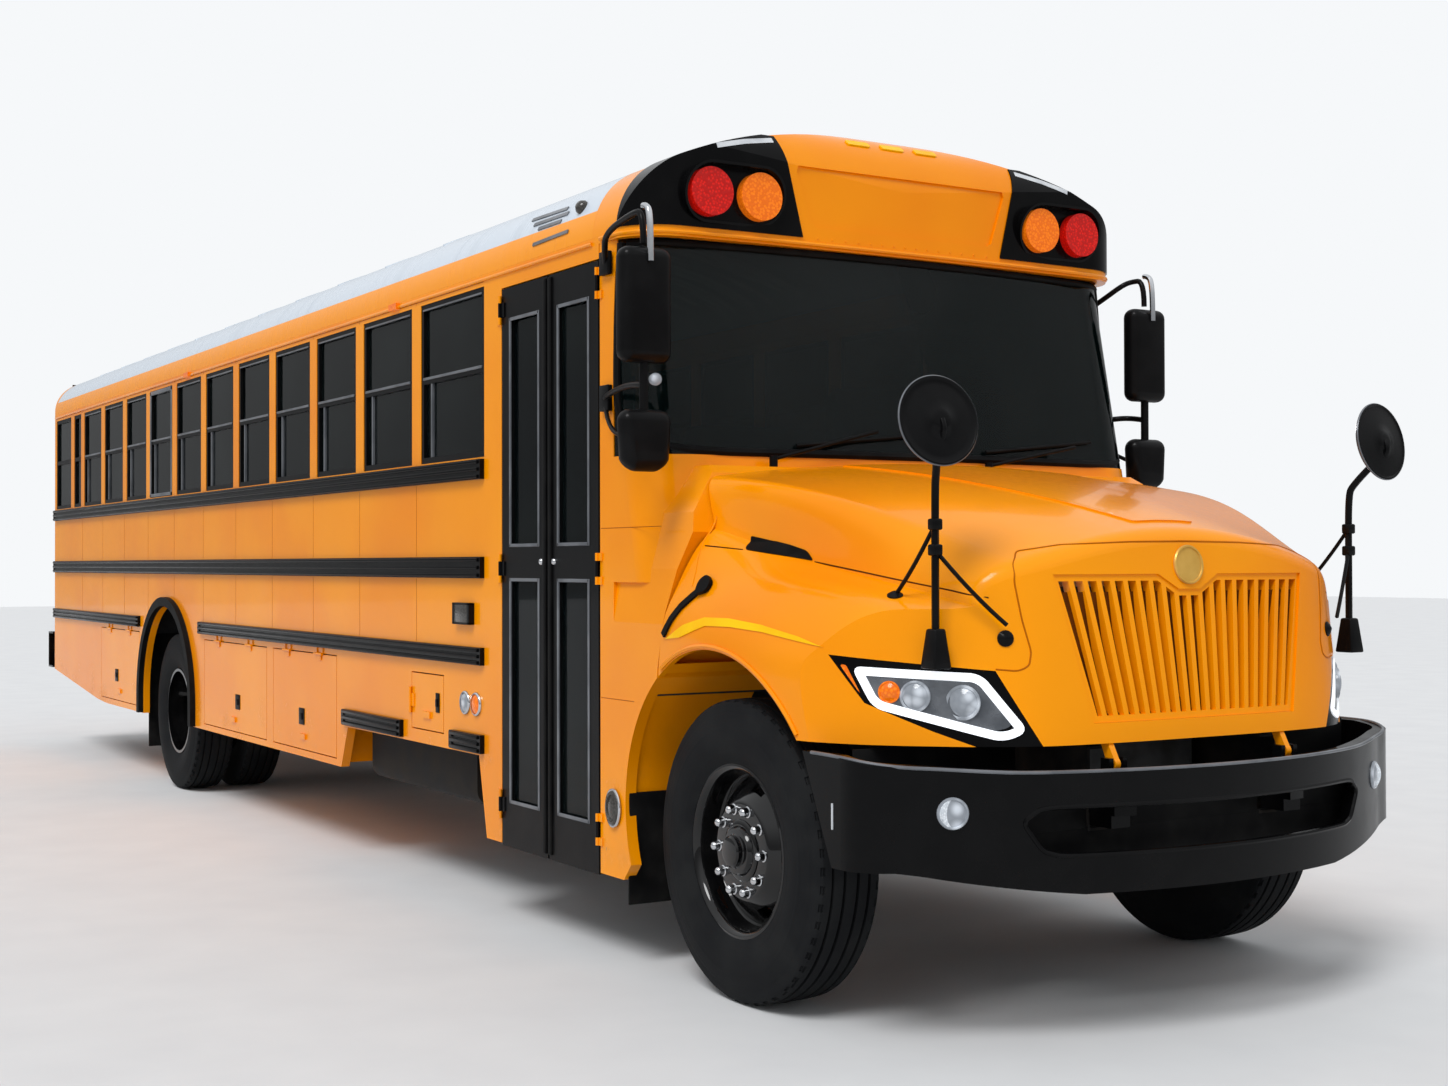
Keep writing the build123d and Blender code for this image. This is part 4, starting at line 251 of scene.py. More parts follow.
# finish: material, tone, other tone, roughness, grain, its depth, metal, coat, dust
PLAIN = {
    "gloss_black": (
        "gloss_black", (7, 7, 8), (11, 11, 12), 0.16, 300, 0.0002, 0, 0.1, 0.06
    ),
    "satin_black": (
        "satin_black", (11, 11, 12), (17, 17, 18), 0.34, 420, 0.0004, 0, 0.08, 0.15
    ),
    "wheel_gloss": (
        "wheel_gloss", (8, 8, 9), (13, 13, 14), 0.14, 200, 0.0003, 0, 0.8, 0.06
    ),
    "chassis": ("chassis_black", (26, 26, 27), (44, 40, 36), 0.5, 160, 0.0008),
    "iron": ("axle_iron", (46, 44, 42), (72, 56, 44), 0.55, 120, 0.0012, 0.4),
    "engine": ("engine_casting", (96, 97, 98), (70, 68, 66), 0.42, 140, 0.001, 0.6),
    "exhaust": ("exhaust_steel", (128, 118, 108), (92, 74, 60), 0.4, 160, 0.0006, 0.9),
    "chrome": (
        "bright_steel", (214, 216, 219), (190, 192, 196), 0.09, 260, 0.0001, 1, 0, 0.08
    ),
    "rubber": ("black_rubber", (14, 14, 15), (24, 24, 24), 0.5, 380, 0.0006, 0, 0, 0.2),
    "tyre": ("tyre_rubber", (25, 26, 28), (33, 34, 35), 0.6, 520, 0.0008, 0, 0, 0.03),
    "dash": ("dash_plastic", (30, 31, 33), (40, 41, 43), 0.5, 700, 0.0006, 0, 0, 0),
    "vinyl": ("seat_vinyl", (26, 30, 38), (34, 39, 48), 0.42, 560, 0.0008, 0, 0.1, 0),
    "floor_mat": ("floor_rubber", (40, 41, 43), (58, 58, 59), 0.6, 90, 0.0012, 0, 0, 0),
    "stop_red": ("red_paint", (196, 16, 22), (176, 12, 18), 0.3, 300, 0.0002, 0, 0.3, 0.1),
    # The seam colour is the joints' own; behind the grille it is painted shade.
    "seam": ("panel_seam", (96, 48, 4), (70, 34, 4), 0.6, 90, 0.0004),
    "faint_seam": ("faint_seam", (186, 100, 0), (170, 90, 0), 0.5, 90, 0.0002),
    "badge": ("badge_satin", (226, 180, 92), (206, 158, 70), 0.3, 200, 0.0003, 0.4, 0.2, 0),
    "reflector": ("lamp_bowl", (132, 136, 142), (84, 88, 94), 0.22, 60, 0.003, 0.6, 0.5, 0),
    "strip_white": (
        "reflective_strip", (214, 218, 222), (184, 188, 194), 0.3, 700, 0.0003, 0, 0.4, 0.1
    ),
    # Bright yellow is the grab rails' own colour; on the fenders it is a painted highlight.
    "bright_yellow": (
        "bright_yellow", (255, 200, 0), (250, 186, 0), 0.34, 300, 0.0002, 0, 0.2, 0
    ),
    # Grey trim is the frames' own colour; on the bumper's upper edge it is a painted
    # highlight.
    "grey_trim_and_highlight": (
        "grey_trim_and_highlight", (118, 121, 126), (96, 99, 104), 0.3, 300, 0.0002, 0.3, 0.3, 0.1
    ),
}


def plain(name, tone, other, rough, grain, depth, metal=0.0, coat=0.0, dust=0.4):
    mixed = Finish(name)
    clouds = mixed.noise(7.0, 6.0)
    body = mixed.blend(mixed.range(clouds, 0.35, 0.7), rgb(*tone), rgb(*other))
    low = mixed.range(mixed.height(), 0.9, 0.2)
    dirt = low * mixed.range(mixed.noise(11.0, 8.0), 0.4, 0.8) * dust
    return mixed.surface(
        Base_Color=mixed.blend(dirt, body, GREY_DUST),
        Roughness=rough + mixed.range(clouds, 0.3, 0.8) * 0.12 + dirt * 0.4,
        Metallic=metal - dirt * metal,
        Specular_IOR_Level=0.06,
        Coat_Weight=coat - dirt * coat,
        Coat_Roughness=0.05,
        Normal=mixed.bump(mixed.noise(grain, 4.0), depth, 0.5),
    )


finishes = {finish: plain(*choices) for finish, choices in PLAIN.items()}
finishes.update(yellow=yellow, two_tone=two_tone)
print("plain finishes:", len(PLAIN))

# %% [markdown]
# ## Glass and lenses
#
# The windows are dark safety glass: they mirror the sky and let a little light through.
# Clear refracting glass could be used, but thin flat panes hardly bend light, and
# refraction keeps the lamps from lighting the cabin. A dark glossy coat over an alpha
# does the same job, and the alpha closes towards the edge of sight as real panes do.
# Lamp covers have small moulded cells, and the headlamp's light guide is frosted.
# %% Glass and lenses
def glazed(name, tint, opacity):
    pane = Finish(name)
    film = pane.noise(1.3, 3.0)
    edge = pane.node("Fresnel", {}, {"IOR": 1.5})
    smear = pane.range(film, 0.45, 0.8) * 0.03
    return pane.surface(
        Base_Color=pane.blend(pane.range(film, 0.4, 0.7), tint, rgb(18, 24, 24)),
        Roughness=0.03 + pane.range(film, 0.5, 0.8) * 0.05,
        Alpha=opacity + (1 - opacity) * edge + smear,
        Specular_IOR_Level=0.15,
        Coat_Weight=0.12,
        Coat_Roughness=0.02,
    )


def lens(name, colour, deeper, facets):
    glass = Finish(name)
    cells = glass.node("TexVoronoi", {}, {"Vector": glass.place(), "Scale": facets})
    return glass.surface(
        Base_Color=glass.blend(glass.range(cells, 0.1, 0.7), colour, deeper),
        Roughness=0.08 + glass.range(cells, 0.2, 0.8) * 0.1,
        Specular_IOR_Level=0.2,
        Coat_Weight=0.35,
        Coat_Roughness=0.03,
        Emission_Color=glass.blend(glass.range(cells, 0.1, 0.8), deeper, colour),
        Emission_Strength=0.25,
        Normal=glass.bump(cells, 0.002, 0.5),
    )


finishes["glass"] = glazed("tinted_glass", rgb(6, 11, 12), 0.72)
finishes["windshield"] = glazed("windshield_glass", rgb(5, 14, 14), 0.58)
finishes["door_glass"] = glazed("door_glass", rgb(10, 16, 18), 0.5)
for finish, name, colour, deeper, facets in (
    ("smoke", "smoked_lens", (72, 70, 66), (40, 38, 36), 120.0),
    ("red_lens", "red_lens", (232, 30, 18), (150, 8, 6), 90.0),
    ("amber_lens", "amber_lens", (255, 140, 20), (214, 92, 6), 90.0),
    ("clear_lens", "clear_lens", (236, 240, 244), (176, 184, 192), 120.0),
    ("projector", "projector_lens", (206, 212, 220), (96, 102, 110), 24.0),
):
    finishes[finish] = lens(name, rgb(*colour), rgb(*deeper), facets)

guide = Finish("light_guide")
frost = guide.noise(160.0, 3.0)
mask = guide.range(frost, 0.3, 0.7)
finishes["light_guide"] = guide.surface(
    Base_Color=guide.blend(mask, rgb(248, 250, 252), rgb(238, 242, 248)),
    Roughness=0.25 + frost * 0.2,
    Emission_Color=guide.blend(mask, rgb(250, 252, 255), rgb(240, 246, 255)),
    Emission_Strength=0.6,
    Coat_Weight=0.6,
)
print("finishes in all:", len(finishes))

# %% [markdown]
# ## Dressing the frame's own nodes
#
# Most nodes already have the right shape, so they only need a finish. Each node's
# material slots could be filled one by one, but a table from finish to nodes is easier
# to read and to check: any node that it misses stops the script.
# %% Finish of each node
node_finish = {
    "yellow": "side_wall_right side_wall_left front_cap rear_wall cowl hood_shell "
    "grille emergency_door hatch_right_front hatch_right_middle hatch_right_rear "
    "fuel_door battery_door luggage_boxes",
    "bright_yellow": "grab_rails",
    "stop_red": "stop_arm",
    "two_tone": "roof roof_hatch_front roof_hatch_rear",
    "gloss_black": "front_bumper rear_bumper lamp_panels rub_rails headlamps",
    "satin_black": "side_mirrors crossview_mirrors wipers window_frames "
    "door_leaf_rear door_leaf_front",
    "wheel_gloss": "rim_front_right rim_front_left rims_rear_right rims_rear_left",
    "chassis": "frame_rails fuel_tank",
    "iron": "front_axle rear_axle knuckle_right knuckle_left tie_rod",
    "engine": "engine",
    "exhaust": "exhaust",
    "rubber": "flares_and_flaps",
    "tyre": "tyre_front_right tyre_front_left tyres_rear_right tyres_rear_left",
    "dash": "dashboard seat_frames",
    "vinyl": "seat_cushions",
    "floor_mat": "floor",
    "windshield": "windshield",
    "glass": "window_glass emergency_glass",
    "door_glass": "door_glass_rear door_glass_front",
    "red_lens": "red_lamps",
    "amber_lens": "amber_lamps",
    "clear_lens": "clear_lamps",
}
undressed = set(nodes)
for finish_name, names in node_finish.items():
    for node_name in names.split():
        mesh = nodes[node_name].data
        mesh.materials.clear()
        mesh.materials.append(finishes[finish_name])
        undressed.discard(node_name)
assert not undressed, f"no finish for {sorted(undressed)}"
print("every node has a finish")

# %% [markdown]
# ## Helpers for modelling
#
# By hand a piece begins as a primitive, is shaped in edit mode and ends with a
# modifier or two. The same steps run here through operators. An operator works on all
# that is selected, so the first helper clears the selection. The next ones open a new
# primitive, put its corners in place, select parts of it and apply a modifier. The
# last ones close a piece, give it its finish, let it ride on its body and copy it.
# %% Begin, pick and fit
ACROSS = Matrix.Scale(-1, 4, (0, 1, 0))
PARTS = {"FACE": "faces", "EDGE": "edges", "VERT": "verts"}
made = []


def choose(*pieces):
    if bpy.context.mode != "OBJECT":
        bpy.ops.object.mode_set(mode="OBJECT")
    bpy.ops.object.select_all(action="DESELECT")
    for piece in pieces:
        piece.select_set(True)
        bpy.context.view_layer.objects.active = piece


def begin(kind, name, **place):
    """Add a primitive and open it for shaping."""
    choose()
    getattr(bpy.ops.mesh, f"primitive_{kind}_add")(**place)
    piece = bpy.context.object
    piece.name = piece.data.name = name
    bpy.ops.object.mode_set(mode="EDIT")
    return piece


def put(piece, rule):
    """Put each corner of an open piece where the rule has it: rule(number, place)."""
    shape = bmesh.from_edit_mesh(piece.data)
    for number, corner in enumerate(shape.verts):
        corner.co = rule(number, corner.co)
    bmesh.update_edit_mesh(piece.data)


def pick(piece, part, test):
    """Select the faces, edges or vertices of an open piece that pass a test."""
    bpy.ops.mesh.select_mode(type=part)
    bpy.ops.mesh.select_all(action="DESELECT")
    shape = bmesh.from_edit_mesh(piece.data)
    for item in getattr(shape, PARTS[part]):
        if test(item):
            item.select_set(True)
    shape.select_flush_mode()
    bmesh.update_edit_mesh(piece.data)


def modify(piece, kind, **settings):
    choose(piece)
    modifier = piece.modifiers.new(kind.lower(), kind)
    for key, value in settings.items():
        setattr(modifier, key, value)
    bpy.ops.object.modifier_apply(modifier=modifier.name)


def fit(piece, finish, body, stands_for=(), smooth=35.0):
    """Close a piece, dress it and let it ride on its body."""
    choose(piece)
    bpy.ops.object.transform_apply(location=True, rotation=True, scale=True)
    bpy.ops.object.shade_smooth_by_angle(angle=math.radians(smooth))
    piece.data.materials.clear()
    piece.data.materials.append(finishes[finish])
    if stands_for:
        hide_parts(*stands_for)
    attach(piece, body)
    made.append(piece.name)
    return piece


def copied(piece, name, move, finish, body, stands_for=()):
    """A copy with its own mesh, carried by a matrix."""
    other = piece.copy()
    other.data = piece.data.copy()
    other.name = other.data.name = name
    bpy.context.scene.collection.objects.link(other)
    other.data.transform(move)
    if move.determinant() < 0:
        other.data.flip_normals()
    return fit(other, finish, body, stands_for)


def pair(piece, finish, body, stands_for=(), smooth=35.0):
    """Fit a piece of the right side, and its mirror image on the left side."""
    fit(piece, finish, body, stands_for, smooth)
    name, left_body, *left_nodes = (
        word.replace("right", "left") for word in (piece.name, body, *stands_for)
    )
    copied(piece, name, ACROSS, finish, left_body, left_nodes)
    return piece


def joined(name, pieces):
    """Several closed pieces made one object."""
    choose(*pieces)
    bpy.ops.object.join()
    whole = bpy.context.object
    whole.name = whole.data.name = name
    return whole


print("modelling helpers are ready")

# %% [markdown]
# ## Turned pieces
#
# Tyres, wheels, nuts, lenses and mirrors are all turned shapes. They could be stacked
# from cylinders, but their profiles are what the eye reads. Each is drawn as a closed
# outline of (radius, along) from a circle primitive, and the spin operator carries it
# round its axis.
# %% Turning
def turned(name, profile, centre, axis=(0, 1, 0), steps=64):
    axis, centre = Vector(axis).normalized(), Vector(centre)
    aside = axis.orthogonal().normalized()
    piece = begin("circle", name, vertices=len(profile))
    put(piece, lambda n, _: centre + aside * profile[n][0] + axis * profile[n][1])
    bpy.ops.mesh.select_all(action="SELECT")
    bpy.ops.mesh.spin(steps=steps, angle=2 * math.pi, center=centre, axis=axis)
    bpy.ops.mesh.select_all(action="SELECT")
    bpy.ops.mesh.remove_doubles(threshold=1e-5)
    bpy.ops.mesh.dissolve_degenerate(threshold=1e-6)
    bpy.ops.mesh.select_all(action="SELECT")
    bpy.ops.mesh.normals_make_consistent(inside=False)
    return piece


def ring_of(count, centre):
    """Repeat the open piece round a wheel's axis."""
    bpy.ops.mesh.select_all(action="SELECT")
    reach = 2 * math.pi * ((count - 1) / count)
    bpy.ops.mesh.spin(
        steps=count - 1, dupli=True, angle=reach, center=centre, axis=(0, 1, 0)
    )


print("turning is ready")

# %% [markdown]
# ## Bars, slabs and pipes
#
# Strips, latches and brackets are small bevelled blocks, and many of them lie in rows.
# Blocks added in edit mode belong to one mesh, so a whole row is one piece. Pipes and
# cables follow a smooth curve with a round section, which is then made a mesh.
# %% Bars and pipes
def bars(name, blocks, bevel=0.002, segments=2):
    """Bevelled blocks, each given as (low corner, high corner)."""
    choose()
    for index, (low, high) in enumerate(blocks):
        low, high = Vector(low), Vector(high)
        bpy.ops.mesh.primitive_cube_add(
            size=1.0, location=(low + high) / 2, scale=high - low
        )
        if index == 0:
            piece = bpy.context.object
            piece.name = piece.data.name = name
            bpy.ops.object.transform_apply(location=True, rotation=True, scale=True)
            bpy.ops.object.mode_set(mode="EDIT")
    bpy.ops.mesh.select_all(action="SELECT")
    if bevel:
        bpy.ops.mesh.bevel(offset=bevel, segments=segments, affect="EDGES")
    return piece


def pipe(name, points, radius, sides=10, closed=False):
    """A round bar or cable along a smooth line."""
    choose()
    line = bpy.data.curves.new(name, "CURVE")
    line.dimensions = "3D"
    line.bevel_depth = radius
    line.bevel_resolution = max(1, sides // 4)
    line.use_fill_caps = not closed
    run = line.splines.new("NURBS")
    run.points.add(len(points) - 1)
    for place, point in zip(run.points, points):
        place.co = (*point, 1.0)
    run.order_u, run.use_endpoint_u, run.use_cyclic_u = 3, not closed, closed
    run.resolution_u = 5
    piece = bpy.data.objects.new(name, line)
    bpy.context.scene.collection.objects.link(piece)
    choose(piece)
    bpy.ops.object.convert(target="MESH")
    return bpy.context.object


print("bars and pipes are ready")

# %% [markdown]
# ## Sheets and lines laid on the bodywork
#
# Lamps' inner parts, vents and reflective strips follow the curved hood and cap. Their
# points could be worked out one by one, but it is simpler to cut a flat sheet to the
# outline, hold it in front of the bodywork and let a Shrinkwrap modifier press it on.
# A grid of bisect cuts lets it bend, corners that miss the bodywork are dropped, and
# Solidify gives it its thickness. A seam is a fine pipe through points that rays find.
# %% Laid sheets and traced lines
TRACE_STEP, TRACE_SIDES = 0.03, 6


def grid_cuts(outline, cell):
    """Bisect the open flat piece into cells of about that size."""
    for axis, normal in enumerate(((1, 0, 0), (0, 1, 0))):
        low = min(corner[axis] for corner in outline)
        span = max(corner[axis] for corner in outline) - low
        cuts = int(span / cell)
        for index in range(cuts):
            place = [0.0, 0.0, 0.0]
            place[axis] = low + (index + 0.5) * span / cuts
            bpy.ops.mesh.select_all(action="SELECT")
            bpy.ops.mesh.bisect(plane_co=place, plane_no=normal)


def laid(name, onto, outline, view, lift, thick, rim=0.0, soft=0.0, cell=0.04):
    """A sheet of that outline, pressed onto a node from where the view holds it."""
    origin, across, up = (Vector(part) for part in view)
    across, up = across.normalized(), up.normalized()
    out = across.cross(up).normalized()
    piece = begin("circle", name, vertices=len(outline), fill_type="NGON")
    put(piece, lambda number, _: (*outline[number], 0.0))
    bpy.ops.mesh.select_all(action="SELECT")
    bpy.ops.mesh.normals_make_consistent(inside=False)
    if sum(face.normal.z for face in bmesh.from_edit_mesh(piece.data).faces) < 0:
        bpy.ops.mesh.flip_normals()
    if soft:
        bpy.ops.mesh.bevel(offset=soft, segments=4, affect="VERTICES")
    if rim:
        bpy.ops.mesh.select_all(action="SELECT")
        bpy.ops.mesh.inset(thickness=rim, depth=0, use_boundary=True)
        bpy.ops.mesh.delete(type="FACE")
    grid_cuts(outline, cell)
    bpy.ops.object.mode_set(mode="OBJECT")
    turned_up = Matrix((across, up, out)).transposed().to_4x4()
    piece.matrix_world = Matrix.Translation(origin) @ turned_up
    modify(
        piece, "SHRINKWRAP", target=nodes[onto], wrap_method="PROJECT",
        use_project_z=True, use_negative_direction=True, use_positive_direction=False,
        offset=lift,
    )
    choose(piece)
    bpy.ops.object.mode_set(mode="EDIT")
    pick(piece, "VERT", lambda corner: abs(corner.co.z) < 1e-5)
    bpy.ops.mesh.delete(type="VERT")
    bpy.ops.object.mode_set(mode="OBJECT")
    modify(piece, "SOLIDIFY", thickness=thick, offset=1.0, use_even_offset=False)
    return piece


def traced(name, node, run, view, radius, lift=0.0):
    """A fine round line on the bodywork behind a row of (u, v) points of a view."""
    origin, across, up = (Vector(part) for part in view)
    out = across.cross(up).normalized()
    line = []
    for first, last in zip(run, run[1:]):
        first, last = Vector(first), Vector(last)
        count = max(1, round((last - first).length / TRACE_STEP))
        for index in range(count + (last == Vector(run[-1]))):
            u, v = first.lerp(last, index / count)
            start = origin + across * u + up * v
            hit, point, normal, _ = nodes[node].ray_cast(start, -out)
            if hit:
                line.append(point + normal * lift)
    assert len(line) > 2, (name, len(line))
    return pipe(name, line, radius, TRACE_SIDES)


def band(points, width):
    """The outline of a strip of that width along a row of points."""
    near, far = [], []
    for index, (u, v) in enumerate(points):
        before = Vector(points[max(index - 1, 0)])
        after = Vector(points[min(index + 1, len(points) - 1)])
        along = (after - before).normalized()
        near.append((u - along.y * width / 2, v + along.x * width / 2))
        far.append((u + along.y * width / 2, v - along.x * width / 2))
    return near + far[::-1]


print("laid sheets and traced lines are ready")

# %% [markdown]
# ## Tyres
#
# A bus tyre has a bulging wall with fine moulded rings, a square shoulder and a tread of
# five ribs. Bump alone leaves the tread's outline smooth against the light, so the
# grooves are part of the turned outline, and every second face of the shoulder is sunk
# to make the small cuts that let the rubber flex.
# %% Tyres
TYRE_STEPS = 108
TYRE_R = 0.526
WHEEL_X = {"front": 4.950, "rear": -2.270}
OUTER_Y, TWIN_Y = 1.030, 0.695
WALL_FOOT, WALL_HEAD, WALL_STEP = 0.296, 0.486, 0.006
BULGE, BULGE_R, BULGE_CURVE = 0.139, 0.402, 2.4
RING_RISE = 0.0011
SHOULDER = [(0.494, 0.1225), (0.505, 0.1205), (0.514, 0.1165), (0.5205, 0.109)]
TREAD = [
    (0.5225, 0.100), (0.5238, 0.0780), (0.5105, 0.0765), (0.5105, 0.0675),
    (0.5246, 0.0660), (0.5256, 0.0325), (0.5115, 0.0310), (0.5115, 0.0215),
    (0.5258, 0.0200), (0.5260, 0.0),
]
CUT_LOW, CUT_HIGH = 0.516, 0.5225


def tyre_outline():
    """Half a tyre as (radius, across), from the bead to the middle of the tread."""
    wall = [(0.2875, 0.104)]
    radius = WALL_FOOT
    while radius < WALL_HEAD:
        ringed = radius < 0.345 or 0.418 < radius < 0.432 or radius > 0.462
        odd = round((radius - WALL_FOOT) / WALL_STEP) % 2
        rise = RING_RISE if ringed and odd else 0.0
        wall.append((radius, BULGE - BULGE_CURVE * (radius - BULGE_R) ** 2 + rise))
        radius += WALL_STEP
    return wall + SHOULDER + TREAD


half = tyre_outline()
whole_outline = half + [(radius, -across) for radius, across in half[-2::-1]]
hub_right = Vector((WHEEL_X["front"], -OUTER_Y, TYRE_R))
tyre = turned("tyre", whole_outline, hub_right, steps=TYRE_STEPS)


def is_shoulder_cut(face):
    spot = face.calc_center_median() - hub_right
    step = math.degrees(math.atan2(spot.z, spot.x)) % 360 * TYRE_STEPS / 360 - 0.5
    on_shoulder = CUT_LOW < math.hypot(spot.x, spot.z) < CUT_HIGH and abs(spot.y) > 0.1
    return on_shoulder and round(step) % 2 == 0


pick(tyre, "FACE", is_shoulder_cut)
bpy.ops.mesh.inset(thickness=0.003, depth=-0.005, use_individual=True)
front_tyre = fit(
    tyre, "tyre", "wheel_front_right", ["tyre_front_right"], smooth=28
)
back = Matrix.Translation((WHEEL_X["rear"] - WHEEL_X["front"], 0, 0))
inward = Matrix.Translation((0, OUTER_Y - TWIN_Y, 0))
for name, move, body, node in (
    ("tyre_left", ACROSS, "wheel_front_left", "tyre_front_left"),
    ("tyre_rear_outer_right", back, "wheels_rear_right", "tyres_rear_right"),
    ("tyre_rear_inner_right", inward @ back, "wheels_rear_right", "tyres_rear_right"),
    ("tyre_rear_outer_left", ACROSS @ back, "wheels_rear_left", "tyres_rear_left"),
    ("tyre_rear_inner_left", ACROSS @ inward @ back, "wheels_rear_left", "tyres_rear_left"),
):
    copied(front_tyre, name, move, "tyre", body, [node])
print("six tyres of", len(front_tyre.data.polygons), "faces")

# %% [markdown]
# ## Front wheels
#
# The front wheel is a pressed steel disc that bulges outwards, welded into a rolled rim,
# with five oval hand holes. Its outline is turned as one thick sheet. Each hole is a
# patch of faces taken out of both skins, whose two edges are then bridged.
# %% Front wheels
OUTWARD = (0, -1, 0)
DISC_STEPS = 80
RIM_OUTLINE = [
    (0.2855, -0.108), (0.268, -0.108), (0.266, -0.002), (0.254, 0.004), (0.238, 0.021),
    (0.222, 0.035), (0.206, 0.048), (0.190, 0.061), (0.172, 0.077), (0.100, 0.082),
    (0.100, 0.096), (0.160, 0.096), (0.168, 0.0945), (0.176, 0.089), (0.190, 0.078),
    (0.206, 0.065), (0.222, 0.051), (0.238, 0.037), (0.252, 0.026), (0.261, 0.022),
    (0.267, 0.030), (0.269, 0.060), (0.271, 0.090), (0.276, 0.106), (0.284, 0.1145),
    (0.293, 0.1185), (0.301, 0.1165), (0.303, 0.111), (0.298, 0.1055), (0.2855, 0.1035),
]
HOLE_REACH = (0.206, 0.238)
HOLE_HALF = math.radians(9.2)
HAND_HOLES, FIRST_HOLE = 5, 0.1

wheel = turned("front_wheel_right", RIM_OUTLINE, hub_right, OUTWARD, DISC_STEPS)
for hole in range(HAND_HOLES):
    middle = 2 * math.pi * hole / HAND_HOLES + FIRST_HOLE

    def in_hole(face):
        spot = face.calc_center_median() - hub_right
        turn = math.atan2(spot.z, spot.x)
        off = (turn - middle + math.pi) % (2 * math.pi) - math.pi
        radius = math.hypot(spot.x, spot.z)
        return abs(off) < HOLE_HALF and HOLE_REACH[0] < radius < HOLE_REACH[1]

    pick(wheel, "FACE", in_hole)
    bpy.ops.mesh.delete(type="FACE")
    bpy.ops.mesh.select_mode(type="EDGE")
    bpy.ops.mesh.select_all(action="DESELECT")
    bpy.ops.mesh.select_non_manifold()
    bpy.ops.mesh.bridge_edge_loops()
bpy.ops.mesh.select_all(action="SELECT")
bpy.ops.mesh.normals_make_consistent(inside=False)
pair(wheel, "wheel_gloss", "wheel_front_right", ["rim_front_right"], 30)
print("front wheels with", HAND_HOLES, "hand holes")

# %% [markdown]
# ## Hubs and wheel nuts
#
# Ten bright nuts hold each wheel to a hub with a rounded cap. A nut is a turned shape of
# twelve steps, small enough to repeat, and the spin operator deals it round the hub.
# %% Hubs and nuts
NUTS = 10
NUT = [
    (0.0, 0.0), (0.0205, 0.0), (0.0205, 0.004), (0.0165, 0.006), (0.0160, 0.021),
    (0.0150, 0.026), (0.0110, 0.0315), (0.0055, 0.034), (0.0, 0.0348),
]
FRONT_HUB = [
    (0.0, -0.060), (0.062, -0.060), (0.062, 0.080), (0.108, 0.082), (0.108, 0.099),
    (0.102, 0.103), (0.088, 0.104), (0.084, 0.114), (0.078, 0.120), (0.060, 0.122),
    (0.056, 0.126), (0.054, 0.140), (0.048, 0.146), (0.034, 0.149), (0.0, 0.1495),
]
REAR_HUB = [
    (0.0, -0.330), (0.100, -0.330), (0.100, -0.166), (0.130, -0.150), (0.126, -0.140),
    (0.106, -0.134), (0.100, -0.060), (0.096, -0.042), (0.084, -0.030), (0.040, -0.026),
    (0.036, -0.020), (0.0, -0.018),
]
for place, body, outline, nut_circle, nut_seat in (
    ("front", "wheel_front_right", FRONT_HUB, 0.145, 0.0955),
    ("rear", "wheels_rear_right", REAR_HUB, 0.1675, -0.150),
):
    hub = Vector((WHEEL_X[place], -OUTER_Y, TYRE_R))
    cap = turned(f"{place}_hub_right", outline, hub, OUTWARD, 40)
    pair(cap, "wheel_gloss", body, smooth=30)
    seat = hub + Vector((nut_circle, -nut_seat, 0))
    nuts = turned(f"{place}_nuts_right", NUT, seat, OUTWARD, 12)
    ring_of(NUTS, hub)
    pair(nuts, "chrome", body, smooth=40)
print("hubs and", 4 * NUTS, "nuts")

# %% [markdown]
# ## Headlamps
#
# Behind each clear cover is a white light guide bent into a ring, two projector lenses
# and an amber turn lamp. The cover follows the fender's corner, so each part is a sheet
# cut to its outline in the lamp's own plane and pressed onto the lamp unit. The left
# lamp is the mirror image of the right one.
# %% Headlamps
LAMP_FOOT = Vector((5.983, -0.660, 0.0))
LAMP_TURN = math.radians(44)
ALONG = Vector((-math.sin(LAMP_TURN), -math.cos(LAMP_TURN), 0))
LAMP_OUT = Vector((math.cos(LAMP_TURN), -math.sin(LAMP_TURN), 0))
HELD_OFF = 0.5
LAMP_VIEW = (LAMP_FOOT + LAMP_OUT * HELD_OFF, -ALONG, (0, 0, 1))

BOWL = [(0.085, 1.010), (0.180, 0.985), (0.520, 1.085), (0.575, 1.165), (0.165, 1.150)]
RING = [(0.045, 0.992), (0.120, 0.960), (0.530, 1.062), (0.602, 1.192), (0.190, 1.172)]
BLINKER = [(0.572, 1.108), (0.577, 1.112), (0.640, 1.196), (0.620, 1.196)]
for name, outline, lift, thick, shape, finish, slot in (
    ("lamp_bowl", BOWL, 0.0006, 0.001, {"soft": 0.03}, "reflector", "clear_lens"),
    (
        "light_ring", RING, 0.001, 0.005, {"rim": 0.027, "soft": 0.032, "cell": 0.03},
        "light_guide", "clear_lens",
    ),
    (
        "blinker", BLINKER, 0.001, 0.003, {"soft": 0.008, "cell": 0.02}, "amber_lens",
        "amber_lens",
    ),
):
    outline = [(-u, v) for u, v in outline]
    sheet = laid(f"{name}_right", "headlamps", outline, LAMP_VIEW, lift, thick, **shape)
    pair(sheet, finish, "hood")
EYE_OUTLINE = [
    (0.0, -0.010), (0.046, -0.010), (0.050, 0.002), (0.049, 0.008), (0.043, 0.009),
    (0.040, 0.006), (0.038, 0.007), (0.028, 0.014), (0.014, 0.018), (0.0, 0.0192),
]
